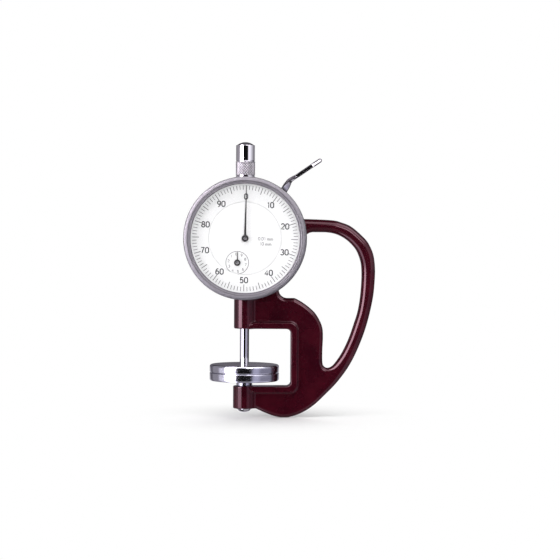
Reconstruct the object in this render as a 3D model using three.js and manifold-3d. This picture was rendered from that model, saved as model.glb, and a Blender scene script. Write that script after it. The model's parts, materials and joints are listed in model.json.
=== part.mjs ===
// Dial thickness gauge with a loop handle and two flat 30 mm discs.
// Millimetres. +Z runs up the spindle and the dial looks towards -Y.
// While modelling, the spindle axis is x = 0, y = 0 and the discs meet at z = 0.
// The finished group has its origin on the flat of the back cover, on the dial's axis.
import * as THREE from 'three';
import { mergeVertices } from 'three/addons/utils/BufferGeometryUtils.js';
import Module from 'manifold-3d';

// Measuring gear
const discRadius = 15;
const contactDiscThickness = 3.45;
const anvilDiscThickness = 3.6;
const discEdge = 0.45;
const spindleRadius = 2;
const spindleTravel = 10;
const spindleEndHeight = 2.2;

// Clearances
const fitGap = 0.05;
const turningGap = 0.1;
const seatGap = 0.3;
const cutOverrun = 1;
const mergeTolerance = 1e-4;

// Frame casting
const throatDepth = 20;
const throatTop = 18.9;
const throatBottom = -5.8;
const throatCorner = 1.9;
const dialHeight = 57.9;
const handleReach = 56;
const webHalfThickness = 2.4;
const webEdge = 1.5;
const rimWidth = 2.9;
const rimCorner = 3.4;
const rimHalfThickness = 4.2;
const rimEdge = 0.6;
const rimStart = 1.8;
const upperBossWall = 1.6;
const lowerBossWall = 2.8;
const lowerBossLength = 9.8;
const bossEdge = 0.4;
const topBossGap = 0.8;
const handleFillet = 4.5;
const shoulderFillet = 3.6;
const screwBoreRadius = 1.1;

// Gauge housing, in the casting
const gearTrainGap = 1.53;
const housingWall = 2.5;
const plateSeatWall = 1.5;
const flangeWidth = 7.6;
const flangeThickness = 1.5;
const flangeGap = 1.8;
const lugRadius = 2.4;
const lugInset = 1.2;
const lugLength = 5.5;
const lugScrewDepth = 3;

// Back cover and its screws
const coverSetback = 0.5;
const coverThickness = 1.2;
const coverEdge = 0.3;
const coverScrewCount = 4;
const coverScrewInset = 3.6;
const coverScrewAngle = 0;
const screwHeadRadius = 1.5;
const screwHeadHeight = 0.7;
const screwHeadSink = 0.1;
const screwShankRadius = 0.8;

// Bezel, crystal and scale ring
const bezelWall = 1.1;
const bezelRimWidth = 2.3;
const bezelLipWidth = 0.8;
const bezelLipThickness = 0.9;
const bezelSkirtLength = 3.1;
const bezelStep = 0.7;
const bezelRound = 0.9;
const crystalThickness = 1;
const spacerThickness = 0.45;
const spacerLength = 2.9;
const scaleRingThickness = 0.6;
const scaleRingWidth = 8.1;

// Inner dial and pointers
const innerDialThickness = 0.9;
const arborHoleRadius = 1;
const pointerTipGap = 0.3;
const pointerRootWidth = 1.1;
const pointerTipWidth = 0.4;
const pointerHubRadius = 1.5;
const pointerHubHeight = 0.9;
const pointerBladeThickness = 0.3;
const pointerBladeInset = 0.4;
const counterPointerLength = 5;
const counterRootWidth = 0.8;
const counterHubRadius = 1.37;
const counterHubHeight = 0.6;
const counterBladeInset = 0.25;

// Gear train
const wheelTeeth = 100;
const pinionTeeth = 10;
const rackPinionTeeth = 16;
const arborRadius = 0.6;
const wheelThickness = 0.6;
const wheelHubRadius = 2;
const wheelHubHeight = 1.2;
const wheelHubGap = 0.4;
const pinionOverhang = 0.4;
const rackPinionHalfWidth = 1.1;
const takeupAngle = Math.PI / 3;
const rackLineDepth = 0.29;
const rackEndLength = 1.6;
const backlash = 0.06;
const toothTipShare = 0.12;
const pinionRootShare = 0.3;
const addendumShare = 0.9;
const dedendumShare = 1.2;
const rackTipGapShare = 0.38;
const rackRootGapShare = 0.2;
const rackDedendumShare = 1.25;

// Movement plate and bridges
const plateThickness = 1.2;
const plateScrewAngles = [0, (5 * Math.PI) / 6, (5 * Math.PI) / 3];
const pivotHoleRadius = 0.75;
const bridgeThickness = 1;
const bridgeHalfWidth = 2;
const bridgeGap = 0.6;
const pillarGap = 0.5;
const centrePillarAngle = Math.PI - 0.255;
const counterPillarAngle = Math.PI - 0.349;
const pillarRadius = 1.3;
const spigotRadius = 0.85;
const spigotLength = 0.9;
const bridgeScrewHeadRadius = 1.25;
const bridgeScrewHeadHeight = 0.7;
const bridgeScrewShankRadius = 0.5;
const bridgeScrewHoleRadius = 0.8;
const bridgeScrewReach = 2.4;

// Hairspring on the take-up arbor
const colletRadius = 1.1;
const colletLength = 1;
const colletFrontGap = 0.9;
const colletBackGap = 1;
const hairspringInner = 1.6;
const hairspringOuter = 5.6;
const hairspringTurns = 4;
const hairspringThickness = 0.16;
const hairspringInset = 0.2;
const studRadius = 0.5;

// Return spring, its pin and its post
const springAxisOffset = 5;
const springWire = 0.2;
const springCoilRadius = 1.1;
const springCoils = 7;
const springHookLength = 1.8;
const springHookTurnShare = 0.475;
const springPinGap = 0.97;
const springPinRadius = 0.6;
const springPinEnd = 1.4;
const springPinDepth = 1.2;
const springPostBack = 1.1;
const springPostHeadRadius = 1.1;
const springPostHeadHeight = 0.5;

// Lifting lever
const leverPivotInset = 2.92;
const leverPivotAngle = (47.88 * Math.PI) / 180;
const leverReach = 19.8;
const leverRestAngle = (22 * Math.PI) / 180;
const leverGap = 1.2;
const leverThickness = 1;
const leverHubRadius = 2.3;
const leverArmHalfWidth = 1;
const leverArmOverlap = 1.3;
const leverStripHalfWidth = 1.45;
const leverExitAngle = (61 * Math.PI) / 180;
const leverStripLength = 7.5;
const leverBladeHalfWidth = 2.4;
const leverBladeThickness = 1.7;
const leverBladeStartShare = 0.72;
const leverRootShare = 0.8;
const leverTwistShares = [0, 0.47];
const leverWidenShares = [0.05, 0.4];
const leverScrewRadius = 1;
const leverScrewHeadRadius = 1.9;
const leverScrewHeadHeight = 0.7;
const leverSpacerRadius = 1.9;
const liftPinRadius = 0.8;
const liftPinDepth = 1.4;
const liftPinEnd = 0.8;

// Bushes and spindle cap
const bushWall = 0.95;
const lowerBushGap = 0.8;
const upperBushHeight = 5.6;
const capWall = 0.95;
const capKnurlDepth = 0.13;
const capSkirtHeight = 1.5;
const capKnurlHeight = 5.8;
const capRibCount = 24;
const capShoulderInset = 0.35;
const capRoofThickness = 1.4;
const capDomeHeight = 1.2;
const domeWaistShare = 0.55;
const domeDropShare = 0.2;
const capSocketGap = 0.6;
const capBoreGap = 0.6;
const capEndGap = 0.9;

// Anvil and anvil screw
const anvilNeckInset = 1.4;
const anvilStudRadius = 2;
const anvilStudLength = 5.7;
const anvilScrewHeadRadius = 3.1;
const anvilScrewHeadHeight = 1.6;
const anvilScrewDomeShares = [[0.5, 0.12], [0.85, 0.45]];
const anvilScrewShankRadius = 1.5;
const anvilScrewGap = 0.5;
const discScrewRadius = 1;
const discScrewLength = 3;

// Facets round a full turn
const largeFacets = 48;
const middleFacets = 32;
const smallFacets = 12;
const screwFacets = 8;
const outerOutlineSteps = 30;
const innerOutlineSteps = 40;
const hairspringTurnSteps = 12;
const springTurnSteps = 8;
const springWireFacets = 5;
const springHookSteps = 8;
const leverBladeSteps = 18;
const leverBladeSideSteps = 2;

// Outline of the casting, as shares of handle reach (x) and dial height (z)
const outerOutlineShares = [
  [0.148, -0.297], [0.22, -0.3235], [0.283, -0.336], [0.357, -0.332], [0.449, -0.299],
  [0.539, -0.2425], [0.628, -0.161], [0.717, -0.071], [0.807, 0.049], [0.88, 0.19], [0.943, 0.359],
  [0.989, 0.552], [1.004, 0.7], [1.0045, 0.798], [0.992, 0.882], [0.965, 0.947], [0.925, 1.003],
  [0.825, 1.088], [0.744, 1.122], [0.663, 1.139], [0.443, 1.147], [0.3, 1.147],
];
const innerOutlineShares = [
  [0.386, 0.556], [0.436, 0.53], [0.488, 0.495], [0.541, 0.448], [0.576, 0.396], [0.6, 0.339],
  [0.606, 0.27], [0.602, 0.16], [0.603, 0.076], [0.615, 0.047], [0.641, 0.036], [0.674, 0.048],
  [0.707, 0.083], [0.754, 0.153], [0.804, 0.256], [0.848, 0.38], [0.872, 0.457], [0.889, 0.552],
  [0.898, 0.648], [0.901, 0.741], [0.895, 0.817], [0.877, 0.876], [0.85, 0.927], [0.798, 0.981],
  [0.739, 1.019], [0.68, 1.04], [0.621, 1.048],
];
// Outer blade of the lever from its twist to its tip, as shares of the lever's reach from its pivot
const leverBladeShares = [
  [0.255, 0.447], [0.318, 0.54], [0.465, 0.637], [0.62, 0.742], [0.793, 0.862], [1, 1],
];

// Radii worked out from the sizes above. A full travel of the spindle turns the rack pinion once.
const gearModule = spindleTravel / (Math.PI * rackPinionTeeth);
const rackPitch = Math.PI * gearModule;
const rackPinionRadius = (gearModule * rackPinionTeeth) / 2;
const arborDistance = (gearModule * (wheelTeeth + pinionTeeth)) / 2;
const wheelTipRadius = gearModule * (wheelTeeth / 2 + addendumShare);
const pillarDistance = wheelTipRadius + pillarRadius + pillarGap;
const housingBore = arborDistance + wheelTipRadius + gearTrainGap;
const housingRadius = housingBore + housingWall;
const plateSeatRadius = housingRadius - plateSeatWall;
const plateRadius = plateSeatRadius - seatGap;
const flangeBore = housingRadius - flangeWidth;
const lugCircleRadius = housingBore - lugInset;
const coverRadius = housingRadius - coverSetback;
const coverScrewCircleRadius = coverRadius - coverScrewInset;
const bezelRadius = housingRadius + turningGap + bezelWall;
const bezelBore = bezelRadius - bezelRimWidth;
const windowRadius = bezelBore - bezelLipWidth;
const insertRadius = bezelBore - turningGap;
const spacerBore = insertRadius - spacerThickness;
const scaleRingBore = insertRadius - scaleRingWidth;
const innerDialRadius = scaleRingBore - seatGap;
const pointerLength = windowRadius - pointerTipGap;
const bushRadius = spindleRadius + fitGap + bushWall;
const upperBossRadius = bushRadius + upperBossWall;
const lowerBossRadius = anvilStudRadius + fitGap + lowerBossWall;
const anvilNeckRadius = lowerBossRadius - anvilNeckInset;
const capRadius = bushRadius + turningGap + capWall;
const capKnurlRadius = capRadius + capKnurlDepth;
const capShoulderRadius = capRadius - capShoulderInset;
const capBore = spindleRadius + capBoreGap;

// Places along y, from the spindle out to the crystal and back to the cover
const bridgeFront = -spindleRadius - bridgeGap - bridgeThickness;
const wheelHubBack = bridgeFront - wheelHubGap;
const wheelFront = wheelHubBack - wheelHubHeight;
const centrePinionFront = wheelFront - pinionOverhang;
const centrePinionBack = wheelFront + wheelThickness + pinionOverhang;
const colletBack = centrePinionFront - colletBackGap;
const colletFront = colletBack - colletLength;
const hairspringFront = colletFront + hairspringInset;
const hairspringBack = colletBack - hairspringInset;
const plateSeatFace = colletFront - colletFrontGap;
const plateFront = plateSeatFace - plateThickness;
const housingFront = plateFront;
const innerDialFront = plateFront - innerDialThickness;
const counterHubBack = innerDialFront - seatGap;
const counterHubFront = counterHubBack - counterHubHeight;
const counterBladeFront = counterHubFront + counterBladeInset;
const pointerHubBack = counterHubFront - seatGap;
const pointerHubFront = pointerHubBack - pointerHubHeight;
const pointerBladeFront = pointerHubFront + pointerBladeInset;
const bezelShoulder = housingFront - seatGap;
const bezelBack = bezelShoulder + bezelSkirtLength;
const scaleRingBack = bezelShoulder - turningGap;
const scaleRingFront = scaleRingBack - scaleRingThickness;
const crystalBack = scaleRingFront - spacerLength;
const bezelLipBack = crystalBack - crystalThickness;
const bezelFront = bezelLipBack - bezelLipThickness;
const lugBack = plateSeatFace + lugLength;
const counterBridgeFront = spindleRadius + bridgeGap;
const leverFront = spindleRadius + leverGap;
const leverBack = leverFront + leverThickness;
const liftPinBack = leverBack + liftPinEnd;
const flangeFront = leverBack + flangeGap;
const housingBack = flangeFront + flangeThickness;
const coverBack = housingBack + coverThickness;

// Heights and places in the plane of the dial
const spindleBottom = contactDiscThickness;
const topBossHeight = dialHeight + housingRadius + topBossGap;
const spindleTop = topBossHeight + spindleEndHeight;
const lowerBossBottom = throatBottom - lowerBossLength;
const handleLineHeight = dialHeight * innerOutlineShares.at(-1)[1];
const shoulderLineHeight = dialHeight * innerOutlineShares[0][1];
const lowerBushTop = dialHeight - housingBore - lowerBushGap;
const upperBushBottom = dialHeight + housingBore;
const upperBushTop = topBossHeight + upperBushHeight;
const capKnurlBottom = topBossHeight + capSkirtHeight;
const capKnurlTop = capKnurlBottom + capKnurlHeight;
const capSocketTop = upperBushTop + capSocketGap;
const capBoreTop = spindleTop + spindleTravel + capEndGap;
const capShoulder = capBoreTop + capRoofThickness;
const capTop = capShoulder + capDomeHeight;
const anvilStudBottom = throatBottom - anvilStudLength;
const anvilScrewTop = anvilStudBottom - anvilScrewGap;
const rackLine = rackLineDepth - spindleRadius;
const counterX = rackLine - rackPinionRadius;
const counterDrop = Math.sqrt(arborDistance ** 2 - counterX ** 2);
const counterAngle = Math.atan2(-counterDrop, counterX);
const counterHeight = dialHeight - counterDrop;
const rackBottom = counterHeight - spindleTravel - rackEndLength;
const rackTop = counterHeight + rackEndLength;
const takeupX = arborDistance * Math.cos(takeupAngle);
const takeupRise = arborDistance * Math.sin(takeupAngle);
const springPinReach = springAxisOffset + springPinEnd;
const springPinHeight =
  dialHeight + Math.sqrt(housingBore ** 2 - springPinReach ** 2) -
  spindleTravel - springPinRadius - springPinGap;
const leverPivotX = (housingBore - leverPivotInset) * Math.cos(leverPivotAngle);
const leverPivotHeight = dialHeight + (housingBore - leverPivotInset) * Math.sin(leverPivotAngle);
const leverSwing =
  leverRestAngle + Math.atan(spindleTravel / leverPivotX - Math.tan(leverRestAngle));
const liftPinDrop =
  (leverArmHalfWidth + liftPinRadius + seatGap - leverPivotX * Math.sin(leverRestAngle)) /
  Math.cos(leverRestAngle);
const liftPinHeight = leverPivotHeight + liftPinDrop;

const wasm = await Module();
wasm.setup();

// Makes the geometry one closed body of shared points with its faces turned outward.
function closed(geometry) {
  const bare = geometry.clone();
  for (const name of Object.keys(bare.attributes)) {
    if (name !== 'position') bare.deleteAttribute(name);
  }
  const merged = mergeVertices(bare, mergeTolerance);
  const corner = merged.index.array;
  const point = merged.attributes.position;
  const kept = [];
  const [a, b, c] = [new THREE.Vector3(), new THREE.Vector3(), new THREE.Vector3()];
  let volume = 0;
  for (let i = 0; i < corner.length; i += 3) {
    const [p, q, r] = [corner[i], corner[i + 1], corner[i + 2]];
    if (p === q || q === r || r === p) continue;
    kept.push(p, q, r);
    a.fromBufferAttribute(point, p);
    b.fromBufferAttribute(point, q);
    c.fromBufferAttribute(point, r);
    volume += a.dot(b.cross(c));
  }
  merged.setIndex(volume < 0 ? kept.reverse() : kept);
  return merged;
}

function solid(geometry) {
  const ready = closed(geometry);
  const mesh = new wasm.Mesh({
    numProp: 3,
    vertProperties: new Float32Array(ready.attributes.position.array),
    triVerts: new Uint32Array(ready.index.array),
  });
  return new wasm.Manifold(mesh);
}

function geometryOf(manifold) {
  const mesh = manifold.getMesh();
  const geometry = new THREE.BufferGeometry();
  geometry.setAttribute('position', new THREE.BufferAttribute(mesh.vertProperties, 3));
  geometry.setIndex(new THREE.BufferAttribute(mesh.triVerts, 1));
  return geometry;
}

function joined(first, ...others) {
  return others.reduce((whole, other) => whole.add(other), first);
}

function cut(whole, ...tools) {
  return tools.reduce((left, tool) => left.subtract(tool), whole);
}

// Profile points are [radius, place along the axis].
function turned(profile, facets = middleFacets) {
  const points = profile.map(([radius, place]) => new THREE.Vector2(radius, place));
  if (profile[0][0] > 0) points.push(points[0].clone());
  return closed(new THREE.LatheGeometry(points, facets));
}

function upright(profile, facets = middleFacets) {
  return turned(profile, facets).rotateX(Math.PI / 2);
}

// An outline in x and z, carried along y from front to back.
function slab(shape, front, back) {
  const geometry = new THREE.ExtrudeGeometry(shape, { depth: back - front, bevelEnabled: false });
  return closed(geometry.rotateX(Math.PI / 2).translate(0, back, 0));
}

function roundedSlab(shape, front, back, edge, steps) {
  const geometry = new THREE.ExtrudeGeometry(shape, {
    depth: back - front - edge - edge,
    bevelThickness: edge,
    bevelSize: edge,
    bevelOffset: -edge,
    bevelSegments: steps,
  });
  return closed(geometry.rotateX(Math.PI / 2).translate(0, back - edge, 0));
}

function rod(radius, front, back, facets = smallFacets) {
  return turned([[0, front], [radius, front], [radius, back], [0, back]], facets);
}

function post(radius, bottom, top, facets = smallFacets) {
  return upright([[0, bottom], [radius, bottom], [radius, top], [0, top]], facets);
}

function tube(bore, radius, front, back, facets = smallFacets) {
  return turned([[bore, front], [radius, front], [radius, back], [bore, back]], facets);
}

function polar(radius, angle) {
  return [radius * Math.cos(angle), radius * Math.sin(angle)];
}

// Points of an arc about [x, z], with as many to a full turn as facets says.
function arc([x, z], radius, from, to, facets = middleFacets) {
  const steps = Math.max(2, Math.round((facets * Math.abs(to - from)) / (2 * Math.PI)));
  const points = [];
  for (let i = 0; i <= steps; i += 1) {
    const [across, up] = polar(radius, from + ((to - from) * i) / steps);
    points.push([x + across, z + up]);
  }
  return points;
}

function outlined(points) {
  return new THREE.Shape(points.map(([x, z]) => new THREE.Vector2(x, z)));
}

function circle(radius, facets = smallFacets) {
  return outlined(arc([0, 0], radius, 0, 2 * Math.PI, facets).slice(1));
}

// A bar with round ends between two points.
function bar(from, to, halfWidth) {
  const angle = Math.atan2(to[1] - from[1], to[0] - from[0]);
  const quarter = Math.PI / 2;
  return outlined([
    ...arc(to, halfWidth, angle - quarter, angle + quarter, smallFacets),
    ...arc(from, halfWidth, angle + quarter, angle + 3 * quarter, smallFacets),
  ]);
}

// Finishes
const enamel = new THREE.MeshStandardMaterial({ color: 0x3a0c14, roughness: 0.25 });
const chrome = new THREE.MeshStandardMaterial({ color: 0xc9c4cb, roughness: 0.18, metalness: 1 });
const ground = new THREE.MeshStandardMaterial({ color: 0xa9a9b4, roughness: 0.35, metalness: 1 });
const steel = new THREE.MeshStandardMaterial({ color: 0x9a9ba0, roughness: 0.4, metalness: 1 });
const brass = new THREE.MeshStandardMaterial({ color: 0xb8923f, roughness: 0.35, metalness: 1 });
const white = new THREE.MeshStandardMaterial({ color: 0xf0efee, roughness: 0.5 });
const black = new THREE.MeshStandardMaterial({ color: 0x1b1a1c, roughness: 0.45 });
const clear = new THREE.MeshStandardMaterial({
  color: 0xf4f8f8,
  roughness: 0.05,
  transparent: true,
  opacity: 0.25,
});

const gauge = new THREE.Group();
const workpiece = new THREE.Group();
gauge.add(workpiece);
workpiece.position.set(0, -coverBack, -dialHeight);

function place(name, shape, material, x = 0, z = 0) {
  const geometry = shape.isBufferGeometry ? shape : geometryOf(shape);
  const mesh = new THREE.Mesh(geometry, material.clone());
  mesh.name = name;
  mesh.position.set(x, 0, z);
  workpiece.add(mesh);
  return mesh;
}

// Frame casting

function outlinePoints(shares, steps) {
  const points = shares.map(([x, z]) => new THREE.Vector2(x * handleReach, z * dialHeight));
  return new THREE.SplineCurve(points).getSpacedPoints(steps).map(({ x, y }) => [x, y]);
}

// Centre of a fillet that touches the housing from outside and a level line.
function filletCentre(lineHeight, fillet) {
  const z = lineHeight > dialHeight ? lineHeight - fillet : lineHeight + fillet;
  const x = Math.sqrt((housingRadius + fillet) ** 2 - (z - dialHeight) ** 2);
  return [x, z];
}

function fingerOpening() {
  const upper = filletCentre(handleLineHeight, handleFillet);
  const lower = filletCentre(shoulderLineHeight, shoulderFillet);
  const upperTouch = Math.atan2(dialHeight - upper[1], -upper[0]);
  const lowerTouch = Math.atan2(dialHeight - lower[1], -lower[0]);
  const pastFillet = ([x, z]) => x > (z > dialHeight ? upper[0] : lower[0]);
  return outlined([
    ...outlinePoints(innerOutlineShares, innerOutlineSteps).filter(pastFillet),
    ...arc(upper, handleFillet, Math.PI / 2, upperTouch),
    ...arc(lower, shoulderFillet, lowerTouch, 1.5 * Math.PI),
  ]);
}

// Inner edge of the throat, from the top arm round to the lower one.
function throatEdge() {
  const x = throatDepth - throatCorner;
  return [
    ...arc([x, throatTop - throatCorner], throatCorner, Math.PI / 2, 0),
    ...arc([x, throatBottom + throatCorner], throatCorner, 0, -Math.PI / 2),
  ];
}

function bodyOutline() {
  const shape = outlined([
    [0, throatBottom],
    [0, lowerBossBottom],
    [lowerBossRadius, lowerBossBottom],
    ...outlinePoints(outerOutlineShares, outerOutlineSteps),
    [0, dialHeight],
    [0, throatTop],
    ...throatEdge(),
  ]);
  shape.holes.push(fingerOpening());
  return shape;
}

function rimOutline() {
  const x = throatDepth + rimWidth - rimCorner;
  const top = throatTop + rimWidth;
  const bottom = throatBottom - rimWidth;
  return outlined([
    [rimStart, throatTop],
    ...throatEdge(),
    [rimStart, throatBottom],
    [rimStart, bottom],
    ...arc([x, bottom + rimCorner], rimCorner, -Math.PI / 2, 0),
    ...arc([x, top - rimCorner], rimCorner, 0, Math.PI / 2),
    [rimStart, top],
  ]);
}

// Room for the lever's strip to swing through the wall of the housing.
function leverSlot() {
  const front = leverFront - seatGap;
  const back = leverBack + seatGap;
  const reach = leverStripLength + cutOverrun;
  const halfWidth = leverStripHalfWidth + seatGap;
  const lowAngle = leverExitAngle - leverSwing;
  const sector = outlined([[0, 0], ...arc([0, 0], reach, lowAngle, leverExitAngle)]);
  const pieces = [slab(sector, front, back)];
  for (const angle of [leverExitAngle, lowAngle]) {
    pieces.push(slab(bar([0, 0], polar(reach, angle), halfWidth), front, back));
  }
  const moved = pieces.map((piece) => solid(piece.translate(leverPivotX, 0, leverPivotHeight)));
  return joined(...moved);
}

function housingInside() {
  return turned(
    [
      [0, housingFront - cutOverrun],
      [plateSeatRadius, housingFront - cutOverrun],
      [plateSeatRadius, plateSeatFace],
      [housingBore, plateSeatFace],
      [housingBore, flangeFront],
      [flangeBore, flangeFront],
      [flangeBore, housingBack + cutOverrun],
      [0, housingBack + cutOverrun],
    ],
    largeFacets,
  ).translate(0, 0, dialHeight);
}

function boss(radius, bottom, top) {
  return upright([
    [0, bottom],
    [radius - bossEdge, bottom],
    [radius, bottom + bossEdge],
    [radius, top - bossEdge],
    [radius - bossEdge, top],
    [0, top],
  ]);
}

function anvilBore() {
  return post(
    anvilStudRadius + fitGap, lowerBossBottom - cutOverrun, throatBottom + cutOverrun, middleFacets,
  );
}

function frameCasting() {
  const body = roundedSlab(bodyOutline(), -webHalfThickness, webHalfThickness, webEdge, 2);
  const rim = roundedSlab(rimOutline(), -rimHalfThickness, rimHalfThickness, rimEdge, 1);
  const barrel = rod(housingRadius, housingFront, housingBack, largeFacets);
  const upperBoss = boss(upperBossRadius, throatTop, dialHeight);
  const lowerBoss = boss(lowerBossRadius, lowerBossBottom, throatBottom);
  const topBoss = boss(upperBossRadius, dialHeight, topBossHeight);
  let casting = joined(
    solid(body),
    solid(rim),
    solid(barrel.translate(0, 0, dialHeight)),
    solid(upperBoss),
    solid(lowerBoss),
    solid(topBoss),
  );
  casting = casting.subtract(solid(housingInside()));
  for (const angle of plateScrewAngles) {
    const [x, z] = polar(lugCircleRadius, angle);
    const lug = rod(lugRadius, plateSeatFace, lugBack).translate(x, 0, dialHeight + z);
    const hole = rod(screwBoreRadius, plateSeatFace - cutOverrun, plateSeatFace + lugScrewDepth);
    casting = casting.add(solid(lug));
    casting = casting.subtract(solid(hole.translate(x, 0, dialHeight + z)));
  }
  for (let i = 0; i < coverScrewCount; i += 1) {
    const [x, z] = polar(coverScrewCircleRadius, coverScrewAngle + (2 * Math.PI * i) / coverScrewCount);
    const hole = rod(screwBoreRadius, flangeFront - cutOverrun, housingBack + cutOverrun);
    casting = casting.subtract(solid(hole.translate(x, 0, dialHeight + z)));
  }
  const leverHole = rod(leverScrewRadius + fitGap, flangeFront - cutOverrun, housingBack + cutOverrun);
  return cut(
    casting,
    solid(leverHole.translate(leverPivotX, 0, leverPivotHeight)),
    solid(post(bushRadius + fitGap, throatTop - cutOverrun, topBossHeight + cutOverrun, middleFacets)),
    solid(anvilBore()),
    leverSlot(),
  );
}

// Back cover, on the flange, with sunk screws

function backCover() {
  const plain = turned(
    [
      [0, housingBack],
      [coverRadius, housingBack],
      [coverRadius, coverBack - coverEdge],
      [coverRadius - coverEdge, coverBack],
      [0, coverBack],
    ],
    largeFacets,
  );
  const headFloor = coverBack - screwHeadSink - screwHeadHeight;
  const holes = [];
  for (let i = 0; i < coverScrewCount; i += 1) {
    const [x, z] = polar(coverScrewCircleRadius, coverScrewAngle + (2 * Math.PI * i) / coverScrewCount);
    const through = rod(screwBoreRadius, housingBack - cutOverrun, coverBack);
    const sink = rod(screwHeadRadius + seatGap, headFloor, coverBack + cutOverrun);
    holes.push(solid(through.translate(x, 0, z)), solid(sink.translate(x, 0, z)));
  }
  return cut(solid(plain), ...holes);
}

// A screw whose head sits at headPlace and whose shank runs towards the other end.
function slottedScrew(headRadius, headHeight, shankRadius, headPlace, shankEnd) {
  const away = Math.sign(headPlace - shankEnd);
  const headTop = headPlace + away * headHeight;
  const screw = turned(
    [[0, shankEnd], [shankRadius, shankEnd], [shankRadius, headPlace], [headRadius, headPlace],
      [headRadius, headTop], [0, headTop]],
    screwFacets,
  );
  const slotHalf = headRadius / 6;
  const slotFloor = headTop - (away * headHeight) / 2;
  const slotTop = headTop + away * cutOverrun;
  const slot = new THREE.BoxGeometry(headRadius * 3, Math.abs(slotTop - slotFloor), slotHalf * 2);
  return solid(screw).subtract(solid(slot.translate(0, (slotTop + slotFloor) / 2, 0)));
}

function placeCover() {
  place('back_cover', backCover(), ground, 0, dialHeight);
  const headPlace = coverBack - screwHeadSink - screwHeadHeight;
  for (let i = 0; i < coverScrewCount; i += 1) {
    const [x, z] = polar(coverScrewCircleRadius, coverScrewAngle + (2 * Math.PI * i) / coverScrewCount);
    const screw = slottedScrew(
      screwHeadRadius, screwHeadHeight, screwShankRadius, headPlace, flangeFront + seatGap,
    );
    place(`cover_screw_${i + 1}`, screw, steel, x, dialHeight + z);
  }
}

// Bushes, cap, anvil

function lowerBush() {
  return upright([
    [spindleRadius + fitGap, throatTop],
    [bushRadius, throatTop],
    [bushRadius, lowerBushTop],
    [spindleRadius + fitGap, lowerBushTop],
  ]);
}

function upperBush() {
  return upright([
    [spindleRadius + fitGap, upperBushBottom],
    [bushRadius, upperBushBottom],
    [bushRadius, upperBushTop],
    [spindleRadius + fitGap, upperBushTop],
  ]);
}

function spindleCap() {
  const shell = upright([
    [0, capTop],
    [capShoulderRadius * domeWaistShare, capTop - (capTop - capShoulder) * domeDropShare],
    [capShoulderRadius, capShoulder],
    [capRadius, capShoulder],
    [capRadius, topBossHeight],
    [bushRadius + turningGap, topBossHeight],
    [bushRadius + turningGap, capSocketTop],
    [capBore, capSocketTop],
    [capBore, capBoreTop],
    [0, capBoreTop],
  ]);
  const ribs = [];
  for (let i = 0; i < capRibCount * 2; i += 1) {
    const radius = i % 2 ? capRadius - fitGap : capKnurlRadius;
    ribs.push(polar(radius, (Math.PI * i) / capRibCount));
  }
  const options = { depth: capKnurlTop - capKnurlBottom, bevelEnabled: false };
  const band = new THREE.ExtrudeGeometry(outlined(ribs), options).translate(0, 0, capKnurlBottom);
  const hollow = post(
    (bushRadius + capRadius) / 2, capKnurlBottom - cutOverrun, capKnurlTop + cutOverrun, middleFacets,
  );
  return solid(shell).add(solid(band).subtract(solid(hollow)));
}

function anvilDisc() {
  return upright([
    [0, 0],
    [discRadius - discEdge, 0],
    [discRadius, -discEdge],
    [discRadius, discEdge - anvilDiscThickness],
    [discRadius - discEdge, -anvilDiscThickness],
    [anvilNeckRadius, -anvilDiscThickness],
    [anvilNeckRadius, throatBottom],
    [anvilStudRadius, throatBottom],
    [anvilStudRadius, anvilStudBottom],
    [0, anvilStudBottom],
  ]);
}

function anvilScrew() {
  const headBottom = lowerBossBottom - anvilScrewHeadHeight;
  return upright([
    [0, headBottom],
    ...anvilScrewDomeShares.map(([out, up]) => [
      anvilScrewHeadRadius * out,
      headBottom + anvilScrewHeadHeight * up,
    ]),
    [anvilScrewHeadRadius, lowerBossBottom],
    [anvilScrewShankRadius, lowerBossBottom],
    [anvilScrewShankRadius, anvilScrewTop],
    [0, anvilScrewTop],
  ], smallFacets);
}

function placeFrame() {
  place('frame_casting', frameCasting(), enamel);
  place('lower_bush', lowerBush(), brass);
  place('upper_bush', upperBush(), brass);
  place('spindle_cap', spindleCap(), chrome);
  place('anvil_disc', anvilDisc(), ground);
  place('anvil_screw', anvilScrew(), chrome);
}

// Bezel group, which turns as one

function bezelRing() {
  const waist = bezelRadius - bezelStep;
  return turned(
    [
      [windowRadius, bezelLipBack],
      [windowRadius, bezelFront + bezelStep],
      [windowRadius + bezelStep, bezelFront],
      [waist - bezelStep, bezelFront],
      [waist, bezelFront + bezelStep],
      [bezelRadius, bezelFront + bezelStep + bezelRound],
      [bezelRadius, bezelBack],
      [housingRadius + turningGap, bezelBack],
      [housingRadius + turningGap, bezelShoulder],
      [bezelBore, bezelShoulder],
      [bezelBore, bezelLipBack],
    ],
    largeFacets,
  );
}

function placeBezel() {
  place('bezel_ring', bezelRing(), chrome, 0, dialHeight);
  const crystal = rod(insertRadius, bezelLipBack, crystalBack, largeFacets);
  const spacer = tube(spacerBore, insertRadius, crystalBack, scaleRingFront, largeFacets);
  const scaleRing = tube(scaleRingBore, insertRadius, scaleRingFront, scaleRingBack, largeFacets);
  place('crystal', crystal, clear, 0, dialHeight);
  place('spacer_ring', spacer, steel, 0, dialHeight);
  place('scale_ring', scaleRing, white, 0, dialHeight);
}

// Spindle group, which slides as one

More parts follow.
